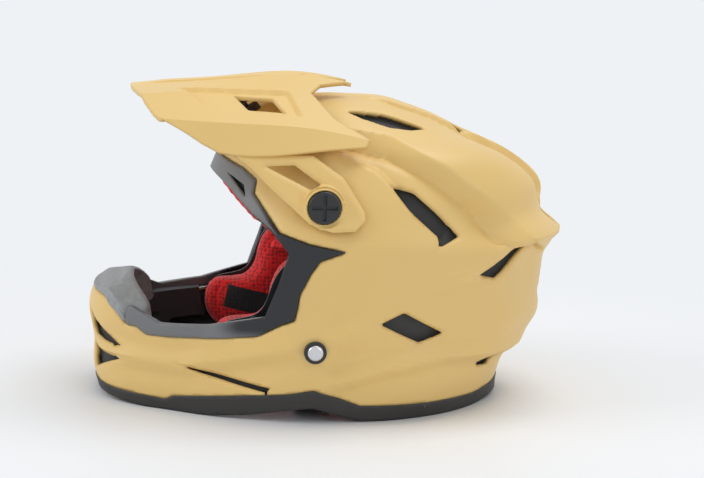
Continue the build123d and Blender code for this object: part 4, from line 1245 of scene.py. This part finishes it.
@made_once
def moulded_material(name):
    """A material of moulded or painted stock: cloudy tone, fine grain and uneven gloss."""
    word = next(word for word in MOULDED if word in name)
    colour, roughness, cloud, spread, grain, strength, depth, constants = MOULDED[word]
    if isinstance(colour, str):
        colour = getattr(colours(), colour)
    material, tree, shader = new_material(name, constants)
    inputs = {"Colour": (*colour, 1.0), "Cloud": cloud, "Spread": spread, "Grain": grain}
    surface = use_group(tree, moulded_surface(), inputs)
    feed(tree, shader, {
        "Base Color": surface["Colour"],
        "Roughness": add_math(tree, "ADD", surface["Roughness shift"], roughness),
        "Normal": bumped(tree, surface["Height"], strength, depth),
    })
    return material


@made_once
def cell_material(name, *finish):
    """A material of open cells: knitted spacer fabric, vent mesh or foam beads."""
    yarn, pit_shade, cells, opening, roughness, strength, depth, sheen = finish or CELLS[name.split("_")[1]]
    constants = {"Roughness": roughness, "Sheen Weight": sheen, "Sheen Roughness": 0.5}
    material, tree, shader = new_material(name, constants)
    # The pit colour is painted shade in the cells' hollows
    inputs = {"Yarn": (*yarn, 1.0), "Pit shade": (*pit_shade, 1.0), "Cells": cells, "Opening": opening}
    cloth = use_group(tree, cell_cloth(), inputs)
    feed(tree, shader, {
        "Base Color": cloth["Colour"], "Normal": bumped(tree, cloth["Height"], strength, depth),
    })
    return material


def cover(material, share, colour):
    """Lays a colour over a material's own by share, and gives its tree and shader."""
    tree = material.node_tree
    shader = tree.nodes["Principled BSDF"]
    own = shader.inputs["Base Color"].links[0].from_socket
    feed(tree, shader, {"Base Color": blend_colours(tree, share, own, colour)})
    return tree, shader


def trim_material():
    """Grey rubber at the brow and the chin, glossy black beside the eyes and over the arrow's tip."""
    material = moulded_material("trim_rubber")
    tree = material.node_tree
    split = add_node(tree, "SeparateXYZ", {"Vector": place_on(tree)}).node.outputs
    above = smooth_range(tree, split["Z"], 0.058, 0.068)
    below = smooth_range(tree, split["Z"], 0.140, 0.158, (1.0, 0.0))
    back = smooth_range(tree, split["Y"], -0.092, -0.070)
    black = add_math(tree, "MULTIPLY", add_math(tree, "MULTIPLY", above, below), back)
    tree, shader = cover(material, black, (0.012, 0.013, 0.016, 1.0))
    rough = shader.inputs["Roughness"].links[0].from_socket
    gloss = add_math(tree, "MULTIPLY", black, 0.22)
    feed(tree, shader, {"Roughness": add_math(tree, "SUBTRACT", rough, gloss)})
    return material


@made_once
def lining_material(name, patch=False):
    """Red knitted lining with small open cells, and a black patch on the cheek cushions' faces."""
    red = tuple(colours().lining)
    # Painted shade: the pit is the yarn's red darkened, as shade in each cell's hollow
    pit_shade = tuple(PIT_SHADE_SHARE * value for value in red)
    material = cell_material(name, red, pit_shade, 330.0, 0.45, 0.85, 0.6, 0.5, 0.3)
    if patch:
        tree = material.node_tree
        turn = (np.radians(-12.0), 0.0, 0.0)
        inputs = {"Vector": place_on(tree), "Location": (0.0, -0.052, 0.053), "Rotation": turn}
        placed = add_node(tree, "Mapping", inputs, vector_type="TEXTURE")
        split = add_node(tree, "SeparateXYZ", {"Vector": placed}).node.outputs
        inside = 1.0
        for label, half in (("X", 0.072), ("Y", 0.022), ("Z", 0.0095)):
            near = add_math(tree, "LESS_THAN", add_math(tree, "ABSOLUTE", split[label]), half)
            inside = add_math(tree, "MULTIPLY", near, inside)
        cover(material, inside, (0.012, 0.011, 0.012, 1.0))
    return material


@made_once
def webbing_material(name):
    """Black webbing: fine ribs across the weave."""
    constants = {"Roughness": 0.72, "Sheen Weight": 0.2, "Sheen Roughness": 0.4}
    material, tree, shader = new_material(name, constants)
    inputs = {"Scale": 190.0, "Distortion": 0.4, "Vector": place_on(tree)}
    ribs = add_node(tree, "TexWave", inputs, "Fac", wave_type="BANDS", bands_direction="Y")
    feed(tree, shader, {
        "Base Color": blend_colours(tree, ribs, (0.008, 0.008, 0.009, 1.0), (0.032, 0.032, 0.035, 1.0)),
        "Normal": bumped(tree, ribs, 0.6, 0.3),
    })
    return material


def dress_fittings():
    """Gives the carried-over pieces their finishes."""
    for name, finish in FITTINGS.items():
        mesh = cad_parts[name].data
        mesh.materials.clear()
        make = cell_material if finish == "black_foam" else moulded_material
        mesh.materials.append(make(finish))
        mesh.polygons.foreach_set("material_index", np.zeros(len(mesh.polygons), dtype=np.int32))


def show_background(tree, surface, output, bright, share=1.0):
    """Shows a plain bright colour, by share, to the camera and in gloss, and the surface to other light."""
    rays = tree.nodes.new("ShaderNodeLightPath").outputs
    seen = add_math(tree, "MAXIMUM", rays["Is Camera Ray"], rays["Is Glossy Ray"])
    seen = add_math(tree, "MAXIMUM", seen, rays["Is Transmission Ray"])
    bright = add_node(tree, bright, {"Color": (*BACKGROUND, 1.0)})
    share = add_math(tree, "MULTIPLY", seen, share)
    mix = add_node(tree, "MixShader", {0: share, 1: surface.outputs[0], 2: bright})
    feed(tree, tree.nodes[output], {"Surface": mix})


def build_stage():
    """Floor, soft lamps, pale world and the camera at the photograph's angle."""
    scene = bpy.context.scene
    scene.view_settings.view_transform = "Standard"
    reach = 6.0
    points = [(-reach, -reach), (reach, -reach), (reach, reach), (-reach, reach)]
    points = np.array([(x, y, -0.2 * MM) for x, y in points])
    floor = mesh_object("floor", points, [[0, 1, 2, 3]], 0)
    material = moulded_material("white_table")
    floor.data.materials.append(material)
    tree = material.node_tree
    away = add_node(tree, "VectorMath", {0: place_on(tree)}, "Value", operation="LENGTH")
    far = smooth_range(tree, away, 0.22, 0.75)
    show_background(tree, tree.nodes["Principled BSDF"], "Material Output", "Emission", far)
    world = bpy.data.worlds.new("pale_room")
    scene.world = world
    world.use_nodes = True
    tree = world.node_tree
    plain = tree.nodes["Background"]
    feed(tree, plain, {"Color": (0.95, 0.975, 1.0, 1.0), "Strength": 0.60})
    show_background(tree, plain, "World Output", "Background")
    for name, (place, size, power) in LAMPS.items():
        lamp = bpy.data.lights.new(name, "AREA")
        lamp.size = size
        lamp.energy = power
        holder = bpy.data.objects.new(name, lamp)
        holder.location = place
        aim = Vector(LAMP_AIM) - Vector(place)
        holder.rotation_euler = aim.to_track_quat("-Z", "Y").to_euler()
        scene.collection.objects.link(holder)
    azimuth, elevation, roll = np.radians(CAMERA_TURNS)
    right = Vector((np.cos(azimuth), np.sin(azimuth), 0.0))
    level = Vector((np.sin(azimuth), -np.cos(azimuth), 0.0))
    back = level * np.cos(elevation) + Vector((0.0, 0.0, np.sin(elevation)))
    up = back.cross(right)
    across = right * np.cos(roll) - up * np.sin(roll)
    upward = right * np.sin(roll) + up * np.cos(roll)
    camera = bpy.data.cameras.new("photo_camera")
    camera.lens = 85.6
    camera.shift_x = 0.0298
    holder = bpy.data.objects.new("photo_camera", camera)
    turn = Matrix((across, upward, back)).transposed().to_4x4()
    turn.translation = Vector(CAMERA_AIM) + back * CAMERA_DISTANCE
    holder.matrix_world = turn
    scene.collection.objects.link(holder)
    scene.camera = holder


class HELMET_OT_shell(bpy.types.Operator):
    """Builds the painted shell"""

    bl_idname = "helmet.shell"
    bl_label = "Painted shell"

    def execute(self, context):
        build_shell()
        return {"FINISHED"}


class HELMET_OT_screens(bpy.types.Operator):
    """Builds the black mesh behind the vents"""

    bl_idname = "helmet.screens"
    bl_label = "Vent mesh"

    def execute(self, context):
        build_screens()
        return {"FINISHED"}


class HELMET_OT_trims(bpy.types.Operator):
    """Builds the eyeport's lip, the bottom edging and the mouth guard"""

    bl_idname = "helmet.trims"
    bl_label = "Rubber trims"

    def execute(self, context):
        build_trims()
        build_mouth_guard()
        return {"FINISHED"}


class HELMET_OT_cushions(bpy.types.Operator):
    """Builds the cheek cushions and the neck cushion"""

    bl_idname = "helmet.cushions"
    bl_label = "Cheek and neck cushions"

    def execute(self, context):
        build_cheeks()
        build_neck()
        return {"FINISHED"}


class HELMET_OT_lining(bpy.types.Operator):
    """Builds the crown's lining and foam and the brow cushion"""

    bl_idname = "helmet.lining"
    bl_label = "Crown lining"

    def execute(self, context):
        build_lining()
        build_foam()
        return {"FINISHED"}


class HELMET_OT_visor(bpy.types.Operator):
    """Builds the visor's roof and arms"""

    bl_idname = "helmet.visor"
    bl_label = "Visor"

    def execute(self, context):
        build_visor()
        return {"FINISHED"}


class HELMET_OT_strap(bpy.types.Operator):
    """Builds the chin strap's webbing"""

    bl_idname = "helmet.strap"
    bl_label = "Chin strap"

    def execute(self, context):
        build_strap()
        return {"FINISHED"}


class HELMET_OT_fittings(bpy.types.Operator):
    """Finishes the screws, rivets, rings, foam and plates"""

    bl_idname = "helmet.fittings"
    bl_label = "Fittings"

    def execute(self, context):
        dress_fittings()
        return {"FINISHED"}


class HELMET_OT_stage(bpy.types.Operator):
    """Sets the floor, the lamps, the world and the camera"""

    bl_idname = "helmet.stage"
    bl_label = "Stage"

    def execute(self, context):
        build_stage()
        return {"FINISHED"}


OPERATORS = (
    HELMET_OT_shell, HELMET_OT_screens, HELMET_OT_trims, HELMET_OT_cushions, HELMET_OT_lining,
    HELMET_OT_visor, HELMET_OT_strap, HELMET_OT_fittings, HELMET_OT_stage,
)


class HELMET_PT_pieces(bpy.types.Panel):
    """Lists the helmet's pieces"""

    bl_idname = "HELMET_PT_pieces"
    bl_label = "Downhill helmet"
    bl_space_type = "VIEW_3D"
    bl_region_type = "UI"
    bl_category = "Helmet"

    def draw(self, context):
        for owner in (sizes(), colours()):
            for name in owner.__annotations__:
                self.layout.prop(owner, name)
        for operator in OPERATORS:
            self.layout.operator(operator.bl_idname)


CLASSES = (HelmetSizes, HelmetColours, *OPERATORS, HELMET_PT_pieces)


def register():
    """Registers the classes and hangs the sizes and colours on the scene."""
    for one in CLASSES:
        bpy.utils.register_class(one)
    bpy.types.Scene.helmet_sizes = PointerProperty(type=HelmetSizes)
    bpy.types.Scene.helmet_colours = PointerProperty(type=HelmetColours)


def unregister():
    """Takes the classes and the scene's properties away again."""
    del bpy.types.Scene.helmet_colours
    del bpy.types.Scene.helmet_sizes
    for one in reversed(CLASSES):
        bpy.utils.unregister_class(one)


def main():
    """Builds every piece in order."""
    register()
    for operator in OPERATORS:
        group, name = operator.bl_idname.split(".")
        getattr(getattr(bpy.ops, group), name)()


if __name__ == "__main__":
    main()
